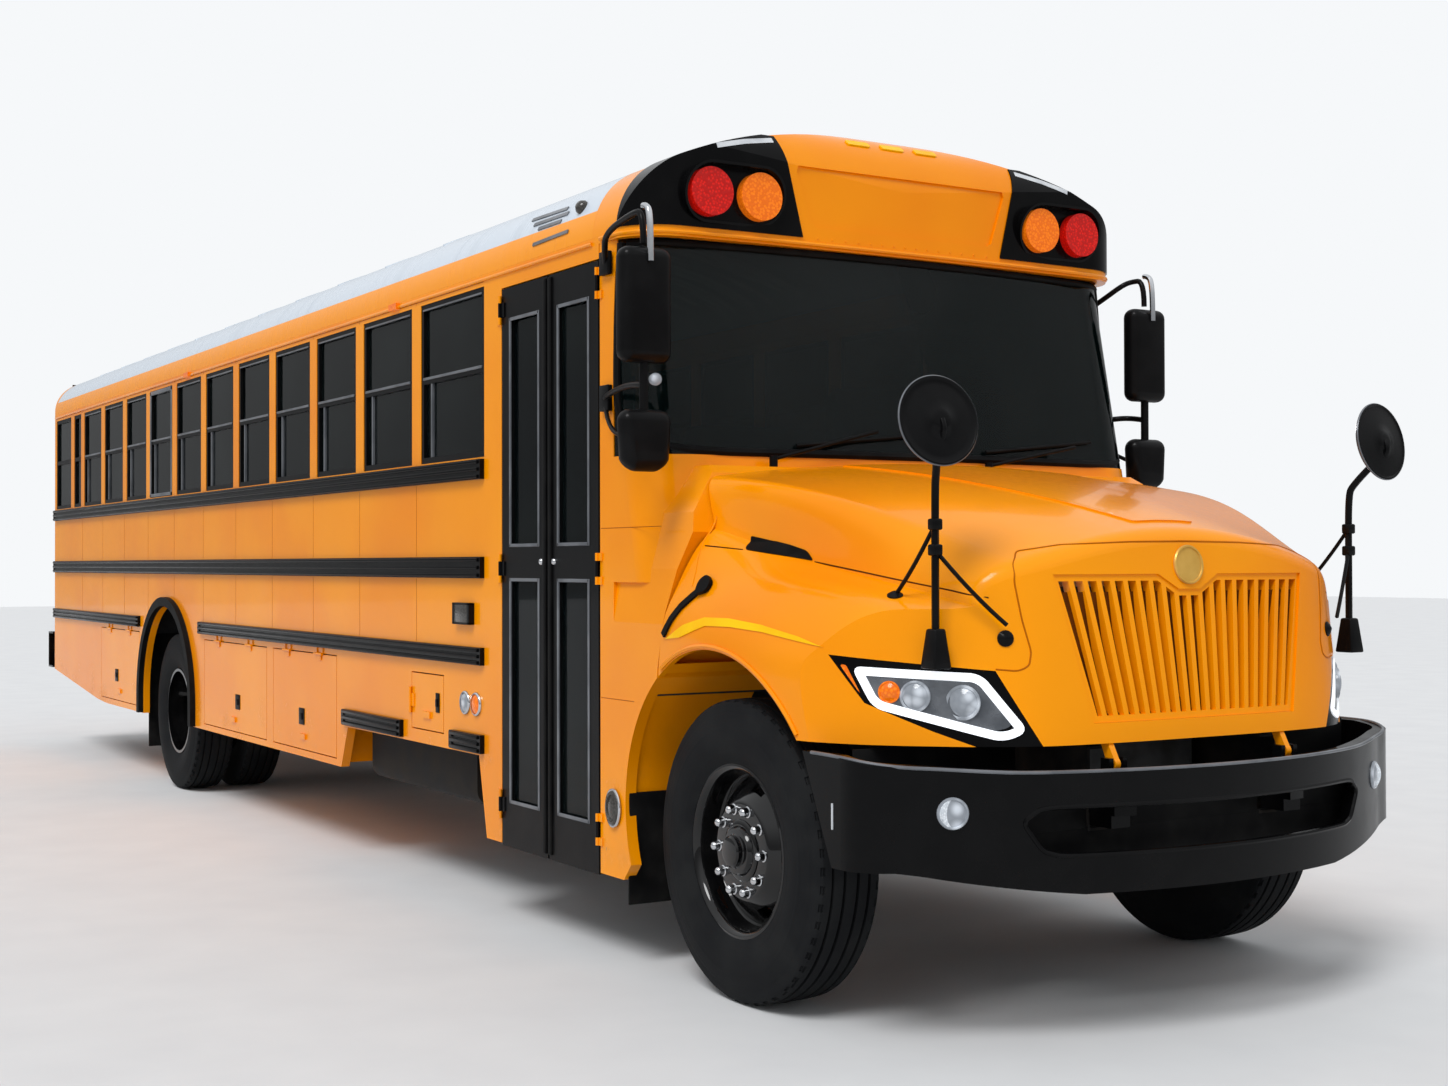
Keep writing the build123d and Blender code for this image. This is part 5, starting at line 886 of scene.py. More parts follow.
for name, u, z, size, finish, slot in (
    ("low_beam", 0.395, 1.100, 1.0, "projector", "clear_lens"),
    ("high_beam", 0.245, 1.082, 1.12, "projector", "clear_lens"),
    ("turn_bulb", 0.478, 1.112, 0.72, "amber_lens", "amber_lens"),
):
    outline = [(radius * size, along * size) for radius, along in EYE_OUTLINE]
    start = LAMP_FOOT + ALONG * u + Vector((0, 0, z)) + LAMP_OUT * HELD_OFF
    hit, on_lamp, _, _ = nodes["headlamps"].ray_cast(start, -LAMP_OUT)
    assert hit, (u, z)
    eye = turned(f"{name}_right", outline, on_lamp, LAMP_OUT + ALONG * 0.12, 32)
    pair(eye, finish, "hood", smooth=50)
print("headlamps with ring, bowl, blinker and three lenses each")

# %% [markdown]
# ## Lines round the body
#
# The drip lip under the front cap and the rubber round the windshield follow the rounded
# front. Rays from outside towards a post in the cabin find the skin at one height after
# another, and a pipe follows what they hit.
# %% Points on the skin
POST = Vector((3.60, 0.0, 0.0))
FAR_OUT = 6.0
LIP_Z = 2.768
RIVET_Z = LIP_Z + 0.026
RIVET = [(0.0, -0.002), (0.005, -0.002), (0.0045, 0.002), (0.0, 0.0035)]


def on_skin(node, degrees, height, lift=0.0):
    """Where the skin is, seen from the post in that direction, at that height."""
    out = Vector((math.cos(math.radians(degrees)), math.sin(math.radians(degrees)), 0))
    start = POST + out * FAR_OUT + Vector((0, 0, height))
    hit, point, normal, _ = nodes[node].ray_cast(start, -out)
    assert hit, (node, degrees, height)
    return point + normal * lift


lip_points = [on_skin("front_cap", turn, LIP_Z, 0.006) for turn in range(-68, 69, 4)]
fit(pipe("cap_drip_lip", lip_points, 0.009), "yellow", "bus_body")
rivets = []
for turn in range(-48, 49, 4):
    spot = on_skin("front_cap", turn, RIVET_Z)
    out = Vector((spot.x - POST.x, spot.y, 0))
    rivets.append(turned(f"rivet_{turn}", RIVET, spot, out, 10))
fit(joined("cap_rivets", rivets), "yellow", "bus_body")
print("drip lip and", len(rivets), "rivets")

# %% [markdown]
# ## Windshield rubber and wipers
#
# A black rubber profile holds the big curved pane. It runs along the scuttle, turns up
# round a wide corner and follows the pane's side to the cap. Each wiper is a bent arm,
# which the frame has, with a rubber blade on the glass.
# %% Windshield trim
RUBBER_LIFT, BLADE_LIFT = 0.003, 0.012
FOOT_Z, HEAD_Z = 1.936, 2.735
RUBBER_SIDE = [
    (63, HEAD_Z), (63, 2.60), (63, 2.40), (63, 2.20), (62.6, 2.08), (59, 1.985),
    (52, 1.945),
]
BLADES = {
    "right": ((-0.62, 1.965), (0.10, 2.035)),
    "left": ((0.30, 1.965), (0.98, 2.03)),
}
BLADE_STEPS, BLADE_AHEAD = 6, 0.93

side_down = [(-turn, z) for turn, z in RUBBER_SIDE]
along_foot = [(turn, FOOT_Z) for turn in range(-46, 47, 4)]
round_pane = side_down + along_foot + RUBBER_SIDE[::-1]
over_pane = [(turn, HEAD_Z) for turn in range(-62, 63, 4)]
for name, path, radius in (
    ("windshield_rubber", round_pane, 0.017), ("windshield_head_rubber", over_pane, 0.014)
):
    points = [on_skin("windshield", turn, z, RUBBER_LIFT) for turn, z in path]
    fit(pipe(name, points, radius), "rubber", "bus_body")
for name, (start, end) in BLADES.items():
    blade = []
    for index in range(BLADE_STEPS + 1):
        share = index / BLADE_STEPS
        y, z = (first + (last - first) * share for first, last in zip(start, end))
        turn = math.degrees(math.atan2(y, BLADE_AHEAD))
        blade.append(on_skin("windshield", turn, z, BLADE_LIFT))
    rubber = pipe(f"wiper_blade_{name}", blade, 0.008, sides=6)
    fit(rubber, "rubber", "bus_body")
print("windshield rubber and wiper blades")

# %% [markdown]
# ## Hood panels
#
# The hood's middle is a raised panel that narrows towards the nose, and its edges are
# the two lines that catch the light. A vent and a rubber T latch sit at its rear
# corner, and a bright yellow strip over each fender is a painted highlight on the
# fender's crease. They could be cut into the hood, but the frame's hood stays as it is,
# so each is a sheet laid on it, from above, from the side or from the front. The seams
# where the moulding is bonded are traced lines.
# %% Hood panels
FROM_ABOVE = ((0, 0, 3.0), (1, 0, 0), (0, 1, 0))
FROM_RIGHT = ((0, -2.2, 0), (1, 0, 0), (0, 0, 1))
FROM_FRONT = ((7.0, 0, 0), (0, 1, 0), (0, 0, 1))
CREST = [(4.66, 0.500), (4.94, 0.440), (5.29, 0.330), (5.61, 0.215), (5.84, 0.140)]
ARCH_X, ARCH_Z, ARCH_R = 4.88, 0.62, 0.612
VENT = [(4.892, 1.568), (5.172, 1.528), (5.140, 1.563), (5.065, 1.583), (4.876, 1.617)]
# The outline of a painted highlight: a bright band along each fender's crease.
PAINTED_HIGHLIGHT_STRIP = [
    (4.600, 1.248), (4.635, 1.262), (4.725, 1.302), (4.852, 1.331), (4.994, 1.331),
    (5.173, 1.314), (5.366, 1.280), (5.480, 1.250), (5.372, 1.264), (5.183, 1.290),
    (5.007, 1.302), (4.865, 1.302), (4.700, 1.256),
]
STRAP = [(4.592, 1.262), (4.640, 1.318), (4.690, 1.366), (4.745, 1.405), (4.785, 1.432)]
GRIP = [(4.765, 1.405), (4.825, 1.418), (4.835, 1.452), (4.800, 1.478), (4.765, 1.455)]
FENDER_SEAM = [(5.178, 1.524), (5.378, 1.492), (5.546, 1.464), (5.742, 1.433), (5.86, 1.41)]
CORNER_SEAM = [(4.690, 1.586), (4.78, 1.578), (4.885, 1.568)]
QUARTER_LINE = [(4.712, 1.440), (4.706, 1.52), (4.704, 1.60), (4.714, 1.69)]
NOSE_BAND = [
    (-0.770, 1.186), (-0.706, 1.180), (-0.672, 1.196), (-0.662, 1.240), (-0.684, 1.340),
    (-0.699, 1.460), (-0.690, 1.515), (-0.640, 1.556), (-0.500, 1.577), (-0.250, 1.587),
]

arch_lip = []
for turn in range(14, 172, 4):
    angle = math.radians(turn)
    arch_lip.append((ARCH_X + ARCH_R * math.cos(angle), ARCH_Z + ARCH_R * math.sin(angle)))
crest = CREST + [(x, -y) for x, y in CREST[::-1]]
panel = laid("hood_crest", "hood_shell", crest, FROM_ABOVE, 0.0, 0.006, soft=0.02)
fit(panel, "yellow", "hood", smooth=25)
# A laid sheet has (lift, thickness, rim, corner), and a traced line (radius, lift).
for name, how, outline, sizes, finish, slot in (
    ("hood_vent", laid, VENT, (0.0008, 0.003, 0.0, 0.012), "rubber", "black_trim"),
    ("fender_seam", traced, FENDER_SEAM, (0.0026,), "seam", "black_trim"),
    ("corner_seam", traced, CORNER_SEAM, (0.0026,), "seam", "black_trim"),
    ("quarter_line", traced, QUARTER_LINE, (0.004,), "yellow", "yellow_paint"),
    # The bright yellow fender strip is a painted highlight on the fender's crease.
    (
        "fender_shoulder", laid, PAINTED_HIGHLIGHT_STRIP, (0.0004, 0.004), "bright_yellow",
        "yellow_paint",
    ),
    ("arch_lip", traced, arch_lip, (0.009, 0.001), "yellow", "yellow_paint"),
    ("latch_strap", laid, band(STRAP, 0.024), (0.002, 0.009), "rubber", "black_rubber"),
    ("latch_grip", laid, GRIP, (0.004, 0.016, 0.0, 0.014), "rubber", "black_rubber"),
):
    piece = how(f"{name}_right", "hood_shell", outline, FROM_RIGHT, *sizes)
    pair(piece, finish, "hood")
nose_band = NOSE_BAND + [(0.0, 1.590)] + [(-y, z) for y, z in NOSE_BAND[::-1]]
seam = traced("nose_band_seam", "hood_shell", nose_band, FROM_FRONT, 0.003)
fit(seam, "faint_seam", "hood")
print("hood panel, seams, vents, latches and fender strips")

# %% [markdown]
# ## Nose, cap and wheel arch
#
# Behind the grille's slats the nose lies in shade, so a thin screen in the dark seam
# colour follows them from behind as painted shade. The maker's disc stands on the nose
# and is left bare. The lamp panels on the cap have reflective strips, and a liner closes
# each front wheel arch towards the door.
# %% Grille's painted shade screen, disc, strips and liners
SLATS = 19
SLAT_FOOT, SLAT_HEAD = (0.446, 1.030), (0.556, 1.425)
GRILLE_FOOT, GRILLE_TALL = 1.009, 0.473
SCREEN_BEHIND, SCREEN_WIDER, SCREEN_X = 0.020, 1.03, 5.93
DISC = [
    (0.0, -0.012), (0.064, -0.012), (0.066, 0.004), (0.063, 0.0085), (0.058, 0.0085),
    (0.056, 0.004), (0.030, 0.0055), (0.0, 0.006),
]
DISC_PLACE, DISC_OUT = (5.951, 0, 1.512), (0.994, 0, 0.11)
STRIP_RUN = [(-0.610, 3.166), (-0.745, 3.143), (-0.880, 3.110)]
LINER_R, LINER_Y = 0.615, (-1.205, -0.740)
LINER_MIDDLE, LINER_HALF = 150, 31


def behind_slats(_, place):
    share = (place.y + 1) / 2
    z = SLAT_FOOT[1] + (SLAT_HEAD[1] - SLAT_FOOT[1]) * share
    flare = (z - GRILLE_FOOT) / GRILLE_TALL
    y = place.x * (SLAT_FOOT[0] + (SLAT_HEAD[0] - SLAT_FOOT[0]) * flare)
    hit, spot, _, _ = nodes["grille"].ray_cast(Vector((7, y, z)), Vector((-1, 0, 0)))
    return spot.x - SCREEN_BEHIND if hit else SCREEN_X, y * SCREEN_WIDER, z


def round_arch(_, place):
    turn = math.radians(LINER_MIDDLE + LINER_HALF * place.x)
    y = LINER_Y[0] if place.y < 0 else LINER_Y[1]
    return ARCH_X + LINER_R * math.cos(turn), y, ARCH_Z + LINER_R * math.sin(turn)


def bent_grid(name, columns, rows, rule, thick, offset):
    """A grid put where the rule has it, and given its thickness."""
    sheet = begin("grid", name, x_subdivisions=columns, y_subdivisions=rows, size=2.0)
    put(sheet, rule)
    modify(sheet, "SOLIDIFY", thickness=thick, offset=offset)
    return sheet


# A dark sheet in the seam colour behind the slats: painted shade inside the nose.
screen = bent_grid("grille_shade_screen", SLATS - 1, 8, behind_slats, 0.002, -1.0)
fit(screen, "seam", "hood")
disc = turned("badge_disc", DISC, DISC_PLACE, DISC_OUT, 48)
fit(disc, "badge", "hood", smooth=30)
strip = laid(
    "lamp_panel_strip_right", "lamp_panels", band(STRIP_RUN, 0.020), FROM_FRONT, 0.001,
    0.001,
)
pair(strip, "strip_white", "bus_body")
liner = bent_grid("arch_liner_right", 12, 2, round_arch, 0.006, 0.0)
pair(liner, "yellow", "bus_body")
print("grille screen, bare disc, lamp panel strips and arch liners")

# %% [markdown]
# ## Front bumper's trim
#
# The bumper is one bowed steel shell. Its rolled upper edge and the lip of its air slot
# catch a thin light, so each gets its own round moulding; the upper one is painted pale
# grey, a painted highlight on the black bumper. Fog lamps sit beside the slot, and dark
# screens stand behind it.
# %% Bumper trim
BOW_R, BOW_X = 2.050, 4.100
EDGE_END = [
    (5.52, -1.218, 0.920), (5.62, -1.219, 0.920), (5.70, -1.214, 0.916),
    (5.775, -1.180, 0.905), (5.832, -1.110, 0.894),
]
EDGE_Z, EDGE_RISE, EDGE_X = 0.872, 0.14, 6.00
SLOT = [
    (-0.76, 0.72), (-0.70, 0.765), (0.70, 0.765), (0.76, 0.72), (0.70, 0.63),
    (0.64, 0.612), (-0.64, 0.612), (-0.70, 0.63),
]
FOG = [
    (0.0, -0.030), (0.048, -0.030), (0.050, 0.006), (0.047, 0.0105), (0.043, 0.0105),
    (0.041, 0.005), (0.028, 0.011), (0.012, 0.014), (0.0, 0.0145),
]
FOG_Y, FOG_Z, FOG_OUT = -0.960, 0.752, (0.88, -0.47, 0)
SCREENS = [
    ((5.925, -0.80, 0.56), (5.931, 0.80, 0.676)),
    ((5.926, -0.80, 0.670), (5.932, -0.438, 0.80)),
    ((5.926, -0.342, 0.670), (5.932, 0.342, 0.80)),
    ((5.926, 0.438, 0.670), (5.932, 0.80, 0.80)),
    ((5.620, -1.13, 0.55), (5.626, -0.47, 0.932)),
    ((5.620, 0.47, 0.55), (5.626, 1.13, 0.932)),
]
TICKS = [
    ((5.636, -1.2235, 0.690), (5.644, -1.2195, 0.772)),
    ((5.636, 1.2195, 0.690), (5.644, 1.2235, 0.772)),
]


def bow(y):
    """How far forward the bumper's face is at that place across."""
    return BOW_X + math.sqrt(BOW_R**2 - y**2)


edge = list(EDGE_END)
for index in range(11):
    y = -1.0 + 0.1 * index
    edge.append((bow(y) - 0.002, y, EDGE_Z + max(0.0, EDGE_X - bow(y)) * EDGE_RISE))
edge = edge + [(x, -y, z) for x, y, z in edge[-2::-1]]
# The upper edge's moulding is grey: a painted highlight along the black bumper's rolled
# edge.
fit(pipe("bumper_edge_highlight", edge, 0.006), "grey_trim_and_highlight", "bus_body")
lip_run = []
for (y, z), (next_y, next_z) in zip(SLOT, SLOT[1:] + SLOT[:1]):
    steps = 8 if abs(next_y - y) > 1 else 2
    for step in range(steps):
        at_y = y + (next_y - y) * step / steps
        lip_run.append((bow(at_y) - 0.004, at_y, z + (next_z - z) * step / steps))
lip = pipe("bumper_slot_lip", lip_run, 0.009, closed=True)
fit(lip, "gloss_black", "bus_body")
fit(bars("slot_screen", SCREENS, 0.001), "rubber", "bus_body")
fog_place = (bow(FOG_Y) - 0.002, FOG_Y, FOG_Z)
fog = turned("fog_lamp_right", FOG, fog_place, FOG_OUT, 40)
pair(fog, "projector", "bus_body", smooth=40)
fit(bars("bumper_ticks", TICKS, 0.001), "strip_white", "bus_body")
print("bumper edge, slot lip, screens, fog lamps and ticks")

# %% [markdown]
# ## Side mirrors
#
# Each side mirror has a tall flat-glass head and a small wide-angle head below it, on a
# bracket that reaches round the windshield's corner. The shells are blocks with very
# round edges. The glass is a thin plate set into the face that looks backwards, and
# pipes follow the bent arms. The left mirror stands further back than the right one,
# so it is drawn at its own place and then mirrored.
# %% Side mirrors
MIRROR_Y = -1.3475
MIRROR_X = {"right": 4.660, "left": 4.370}
HEAD_DEEP, HEAD_WIDE, GLASS_IN = 0.045, 0.1025, 0.052
FOOT_TALL, FOOT_ROUND = 0.09, 0.62
FOOT_X, FOOT_LOW, FOOT_HIGH = (4.112, 4.184), (2.10, 2.20), (2.62, 2.71)


def mirror_head(name, x, low, high, corner, round_foot=False):
    """A rounded shell with its glass, for the right side."""
    box = (
        (x - HEAD_DEEP, MIRROR_Y - HEAD_WIDE, low),
        (x + HEAD_DEEP, MIRROR_Y + HEAD_WIDE, high),
    )
    shell = bars(name, [box], corner, 6)
    if round_foot:

        def drawn_in(_, place):
            drop = max(0.0, (low + FOOT_TALL - place.z) / FOOT_TALL)
            share = math.sqrt(max(0.0, 1 - FOOT_ROUND * drop**2))
            return place.x, MIRROR_Y + (place.y - MIRROR_Y) * share, place.z

        put(shell, drawn_in)
    pick(shell, "FACE", lambda face: face.normal.x < -0.99)
    bpy.ops.mesh.inset(thickness=0.006, depth=-0.004)
    back, wide = x - HEAD_DEEP, HEAD_WIDE - GLASS_IN
    plate = (
        (back - 0.001, MIRROR_Y - wide, low + GLASS_IN),
        (back + 0.002, MIRROR_Y + wide, high - GLASS_IN),
    )
    return shell, bars(name + "_glass", [plate], 0.001, 1)


def mirror_arms(x):
    """The bracket's tubes and the feet that hold them on the pillar."""
    y = MIRROR_Y
    high_arm = [
        (4.15, -1.232, 2.665), (4.20, -1.262, 2.70), (4.28, -1.30, 2.755),
        (x - 0.08, y, 2.775), (x, y, 2.770), (x, y, 2.655),
    ]
    low_arm = [
        (4.15, -1.232, 2.15), (4.25, -1.27, 2.16), (x - 0.08, y, 2.165), (x, y, 2.150)
    ]
    neck = [(x, y, 2.235), (x, y, 2.14), (x, y, 2.05)]
    stay = [
        (4.15, -1.232, 2.12), (4.22, -1.26, 2.02), (x - 0.08, y, 1.965),
        (x - 0.035, y, 1.955),
    ]
    feet = [
        ((FOOT_X[0], -1.242, low), (FOOT_X[1], -1.2202, high))
        for low, high in (FOOT_LOW, FOOT_HIGH)
    ]
    return [
        pipe("high_arm", high_arm, 0.012),
        pipe("low_arm", low_arm, 0.012),
        pipe("neck", neck, 0.017),
        pipe("lower_stay", stay, 0.009),
        bars("feet", feet, 0.004),
    ]


for word, x in MIRROR_X.items():
    upper, upper_glass = mirror_head("upper", x, 2.230, 2.640, 0.040)
    lower, lower_glass = mirror_head("lower", x, 1.845, 2.065, 0.044, True)
    shells = joined(f"mirror_shells_{word}", [upper, lower] + mirror_arms(x))
    glasses = joined(f"mirror_glass_{word}", [upper_glass, lower_glass])
    for piece, finish, slot, old in (
        (shells, "satin_black", "black_trim", ["side_mirrors"]),
        (glasses, "chrome", "clear_glass", []),
    ):
        if word == "left":
            piece.data.transform(ACROSS)
            piece.data.flip_normals()
        fit(piece, finish, "bus_body", old, smooth=50)
print("side mirrors")

# %% [markdown]
# ## Mirror lamp and posts
#
# A small round lamp sits between the right mirror's heads, and a bright post runs down
# each upper head. The post is one bent tube, and the left one is mirrored and then
# moved back to its own mirror.
# %% Mirror lamp and posts
MIRROR_LAMP = [
    (0.0, -0.012), (0.021, -0.012), (0.023, 0.0), (0.021, 0.010), (0.012, 0.016),
    (0.0, 0.018),
]
POST_RUN = [
    (4.712, MIRROR_Y, 2.585), (4.712, MIRROR_Y, 2.66), (4.706, MIRROR_Y, 2.75),
    (4.690, MIRROR_Y, 2.785), (4.660, MIRROR_Y, 2.788),
]
lamp = turned("mirror_lamp_right", MIRROR_LAMP, (4.660, -1.300, 2.175), (1, 0, 0), 24)
fit(lamp, "projector", "bus_body", smooth=50)
post = pipe("mirror_post_right", POST_RUN, 0.012, 12)
fit(post, "chrome", "bus_body", smooth=50)
to_left = Matrix.Translation((MIRROR_X["left"] - MIRROR_X["right"], 0, 0)) @ ACROSS
copied(post, "mirror_post_left", to_left, "chrome", "bus_body")
print("mirror lamp and posts")

# %% [markdown]
# ## Crossview mirrors
#
# A round convex mirror stands on each fender, so that the driver sees the ground in
# front of the bus. Its pole leans on two braces that end in flat feet on the hood. The
# disc is turned, with a rolled rim, and it is tilted down towards the driver.
# %% Crossview mirrors
HEAD = Vector((5.905, -1.010, 1.954))
HEAD_OUT = Vector((1.0, -0.10, 0.16))
RIM_R, RIM_AHEAD, RIM_STEPS = 0.139, 0.006, 36
DISH = [
    (0.0, -0.022), (0.060, -0.024), (0.105, -0.017), (0.131, -0.006), (0.1385, 0.000),
    (0.1410, 0.006), (0.1395, 0.0115), (0.1345, 0.0125), (0.130, 0.0090), (0.110, 0.0105),
    (0.070, 0.0180), (0.040, 0.0215), (0.034, 0.0265), (0.020, 0.0280), (0.0, 0.0282),
]
FACE = [
    (0.0, -0.0255), (0.060, -0.0275), (0.105, -0.0205), (0.128, -0.0095),
    (0.126, -0.007), (0.0, -0.020),
]
BRACE_FOOT = [
    (0.0, -0.004), (0.0264, -0.004), (0.0264, 0.004), (0.0144, 0.012), (0.0, 0.018)
]
POLE = [
    (5.815, -0.95, 1.25), (5.815, -0.95, 1.50), (5.815, -0.95, 1.76),
    (5.83, -0.957, 1.80), (5.885, -0.995, 1.87),
]
FORK = [
    (5.885, -0.995, 1.865), (5.935, -1.010, 1.900), (5.942, -1.011, 1.935),
    (5.930, -1.011, 1.958),
]
REAR_BRACE = [(5.610, -0.945, 1.425), (5.70, -0.947, 1.50), (5.815, -0.95, 1.64)]
FRONT_BRACE = [(5.925, -0.755, 1.325), (5.87, -0.85, 1.42), (5.815, -0.95, 1.56)]
KNOBS = [
    ((5.797, -0.968, 1.622), (5.833, -0.932, 1.658)),
    ((5.797, -0.968, 1.542), (5.833, -0.932, 1.578)),
]
BOOT = ((5.778, -0.985, 1.19), (5.855, -0.915, 1.315))

cross_pieces = [turned("cross_dish", DISH, HEAD, HEAD_OUT, 56)]
for name, run, radius in (
    ("pole", POLE, 0.0125), ("fork", FORK, 0.009), ("rear_brace", REAR_BRACE, 0.007),
    ("front_brace", FRONT_BRACE, 0.007),
):
    cross_pieces.append(pipe(name, run, radius))
for name, place, aim in (
    ("rear_foot", (5.600, -0.945, 1.412), (0.05, -0.35, 0.93)),
    ("front_foot", (5.932, -0.742, 1.312), (0.75, -0.1, 0.62)),
):
    start = Vector(place) + Vector(aim) * 0.3
    hit, spot, normal, _ = nodes["hood_shell"].ray_cast(start, -Vector(aim))
    cross_pieces.append(turned(name, BRACE_FOOT, spot, normal, 16))
boot = bars("boot", [BOOT], 0.0)
pick(boot, "FACE", lambda face: face.normal.z > 0.9)
bpy.ops.transform.resize(value=(0.62, 0.62, 1.0))
bpy.ops.mesh.select_all(action="SELECT")
bpy.ops.mesh.bevel(offset=0.007, segments=3, affect="EDGES")
cross_pieces += [boot, bars("knobs", KNOBS, 0.006)]
cross = joined("crossview_right", cross_pieces)
pair(cross, "satin_black", "hood", ["crossview_mirrors"], 45)
face = turned("crossview_glass_right", FACE, HEAD, HEAD_OUT, 48)
pair(face, "chrome", "hood", smooth=50)
rim_middle = HEAD + HEAD_OUT.normalized() * RIM_AHEAD
across = HEAD_OUT.orthogonal()
aside, upward = across.normalized(), HEAD_OUT.cross(across).normalized()
rim_run = []
for step in range(RIM_STEPS):
    turn = 2 * math.pi * step / RIM_STEPS
    rim_run.append(rim_middle + (aside * math.cos(turn) + upward * math.sin(turn)) * RIM_R)
rim = pipe("crossview_rim_right", rim_run, 0.0045, closed=True)
pair(rim, "grey_trim_and_highlight", "hood")
print("crossview mirrors")

# %% [markdown]
# ## Guard rails and window bars
#
# The guard rails are rolled with three ribs each, which catch a line of light. Every
# side window has a black frame with a bar across its middle and a thin upright bar in
# the lower half, and the push-out window has a pale frame. All ribs and bars of one side
# are one piece, dealt out in a loop.
# %% Ribs and window bars
SIDE_Y = -1.220
REAR_EDGE, FIRST_EDGE = -5.860, 2.992
RAIL_RUNS = (
    (1.889, 1.977, REAR_EDGE, FIRST_EDGE), (1.457, 1.551, REAR_EDGE, FIRST_EDGE),
    (1.078, 1.155, REAR_EDGE, -2.993), (1.078, 1.155, -1.449, FIRST_EDGE),
    (0.695, 0.776, 1.233, 2.046), (0.695, 0.776, 2.644, FIRST_EDGE),
)
RIB_SHARES, RIB_HALF, RIB_SHORT = (0.14, 0.5, 0.86), 0.008, 0.02
RIB_OUT, RIB_IN = -1.250, -1.240
PILLAR_X = [
    2.211, 1.450, 0.737, 0.026, -0.684, -1.390, -2.089, -2.780, -3.463, -4.151, -4.849,
    -5.214,
]
POST_HALF, SASH = 0.055, 0.028
UPRIGHT_SHARE, UPRIGHT_HALF = 0.13, 0.006
PUSH_OUT, PUSH_OUT_Z, PUSH_OUT_WIDE = (-2.722, -2.147), (1.990, 2.725), 0.024


def both_sides(name, blocks, finish, bevel=0.002, segments=2):
    """Blocks given for the right side, and their mirror image."""
    pair(bars(f"{name}_right", blocks, bevel, segments), finish, "bus_body")


ribs = []
for low, high, rear, front in RAIL_RUNS:
    rear, front = rear + RIB_SHORT, front - RIB_SHORT
    for share in RIB_SHARES:
        z = low + (high - low) * share
        ribs.append(((rear, RIB_OUT, z - RIB_HALF), (front, RIB_IN, z + RIB_HALF)))
both_sides("rail_ribs", ribs, "gloss_black", 0.004, 3)
window_bars = []
window_fronts = [FIRST_EDGE] + [x - POST_HALF for x in PILLAR_X]
for window_front, pillar in zip(window_fronts, PILLAR_X[:-1]):
    front, rear = window_front - SASH, pillar + POST_HALF + SASH
    upright = rear + UPRIGHT_SHARE * (front - rear)
    window_bars += [
        ((upright - UPRIGHT_HALF, -1.214, 2.014), (upright + UPRIGHT_HALF, -1.200, 2.358)),
        ((rear, -1.2215, 2.376), (front, -1.2140, 2.388)),
        ((rear, -1.2215, 2.699), (front, -1.2140, 2.707)),
    ]
both_sides("window_bars", window_bars, "grey_trim_and_highlight", 0.0015, 1)
(rear, front), (low, high) = PUSH_OUT, PUSH_OUT_Z
push_out = [
    ((rear, -1.2240, low), (front, -1.2150, 2.012)),
    ((rear, -1.2240, 2.700), (front, -1.2150, high)),
    ((rear, -1.2240, low), (rear + PUSH_OUT_WIDE, -1.2150, high)),
    ((front - PUSH_OUT_WIDE, -1.2240, low), (front, -1.2150, high)),
]
both_sides("push_out_frame", push_out, "grey_trim_and_highlight")
print(len(ribs), "ribs and", len(window_bars), "window bars on each side")

# %% [markdown]
# ## Gutter, louvres and roof marker
#
# A half-round gutter runs along each side under the paint line. Four slots near the
# roof's front end are air louvres, and a small dark lamp stands beside them. They could
# be cut into the roof, but strips laid on its curve show as well and keep it whole.
# %% Gutter, louvres and roof marker
GUTTER_X, GUTTER_Y, GUTTER_Z = (-5.86, -3.0, 0.0, 4.02), -1.2235, 2.7580
LOUVRES = [
    [(3.36, 2.962), (3.70, 2.955)], [(3.42, 2.930), (3.74, 2.928)],
    [(3.49, 2.902), (3.70, 2.901)], [(3.48, 2.836), (3.80, 2.843)],
]
MARKER = [(0.0, -0.030), (0.030, -0.030), (0.030, 0.006), (0.020, 0.020), (0.0, 0.026)]
gutter = pipe("gutter_right", [(x, GUTTER_Y, GUTTER_Z) for x in GUTTER_X], 0.0075, 8)
pair(gutter, "yellow", "bus_body")
slots = [
    laid(f"louvre_{index}", "roof", band(run, 0.014), FROM_RIGHT, 0.0005, 0.005)
    for index, run in enumerate(LOUVRES)
]
pair(joined("louvres_right", slots), "grey_trim_and_highlight", "bus_body")
marker = turned("roof_marker_right", MARKER, (3.858, -1.182, 2.932), (0.3, -0.86, 0.4), 14)
pair(marker, "smoke", "bus_body", smooth=40)
print("gutters,", len(LOUVRES), "louvres and a marker on each side")

# %% [markdown]
# ## Panel seams, lamps and latches
#
# The side is a row of riveted sheets with a faint joint under each window post. Along
# it sit a turn lamp in a black housing, two small round lamps, catches on the hatches
# and a marker lamp at the cowl's foot. Small turned rims and bevelled blocks do for all.
# %% Side fittings
SEAM_HALF, SEAM_IN, SEAM_OUT = 0.0015, SIDE_Y + 0.0006, SIDE_Y - 0.0006
SEAM_HEIGHTS = ((1.981, 1.987), (1.553, 1.887), (1.157, 1.455), (2.735, 2.765))
HOUSING_X, HOUSING_Z = (2.700, 2.722, 2.863, 2.885), (1.252, 1.262, 1.338, 1.348)
LAMP_EYE = [
    (0.0, -0.002), (0.043, -0.002), (0.041, 0.007), (0.028, 0.013), (0.012, 0.016),
    (0.0, 0.0165),
]
LAMP_RIM = [
    (0.043, -0.002), (0.052, -0.002), (0.054, 0.005), (0.050, 0.011), (0.044, 0.012),
    (0.0435, 0.006),
]
CATCHES = {
    "hatch_right_rear": (-3.692, 0.699, 0.045),
    "hatch_right_middle": (-0.638, 0.691, 0.045),
    "hatch_right_front": (0.550, 0.689, 0.045),
    "fuel_door": (2.471, 0.883, 0.022),
}
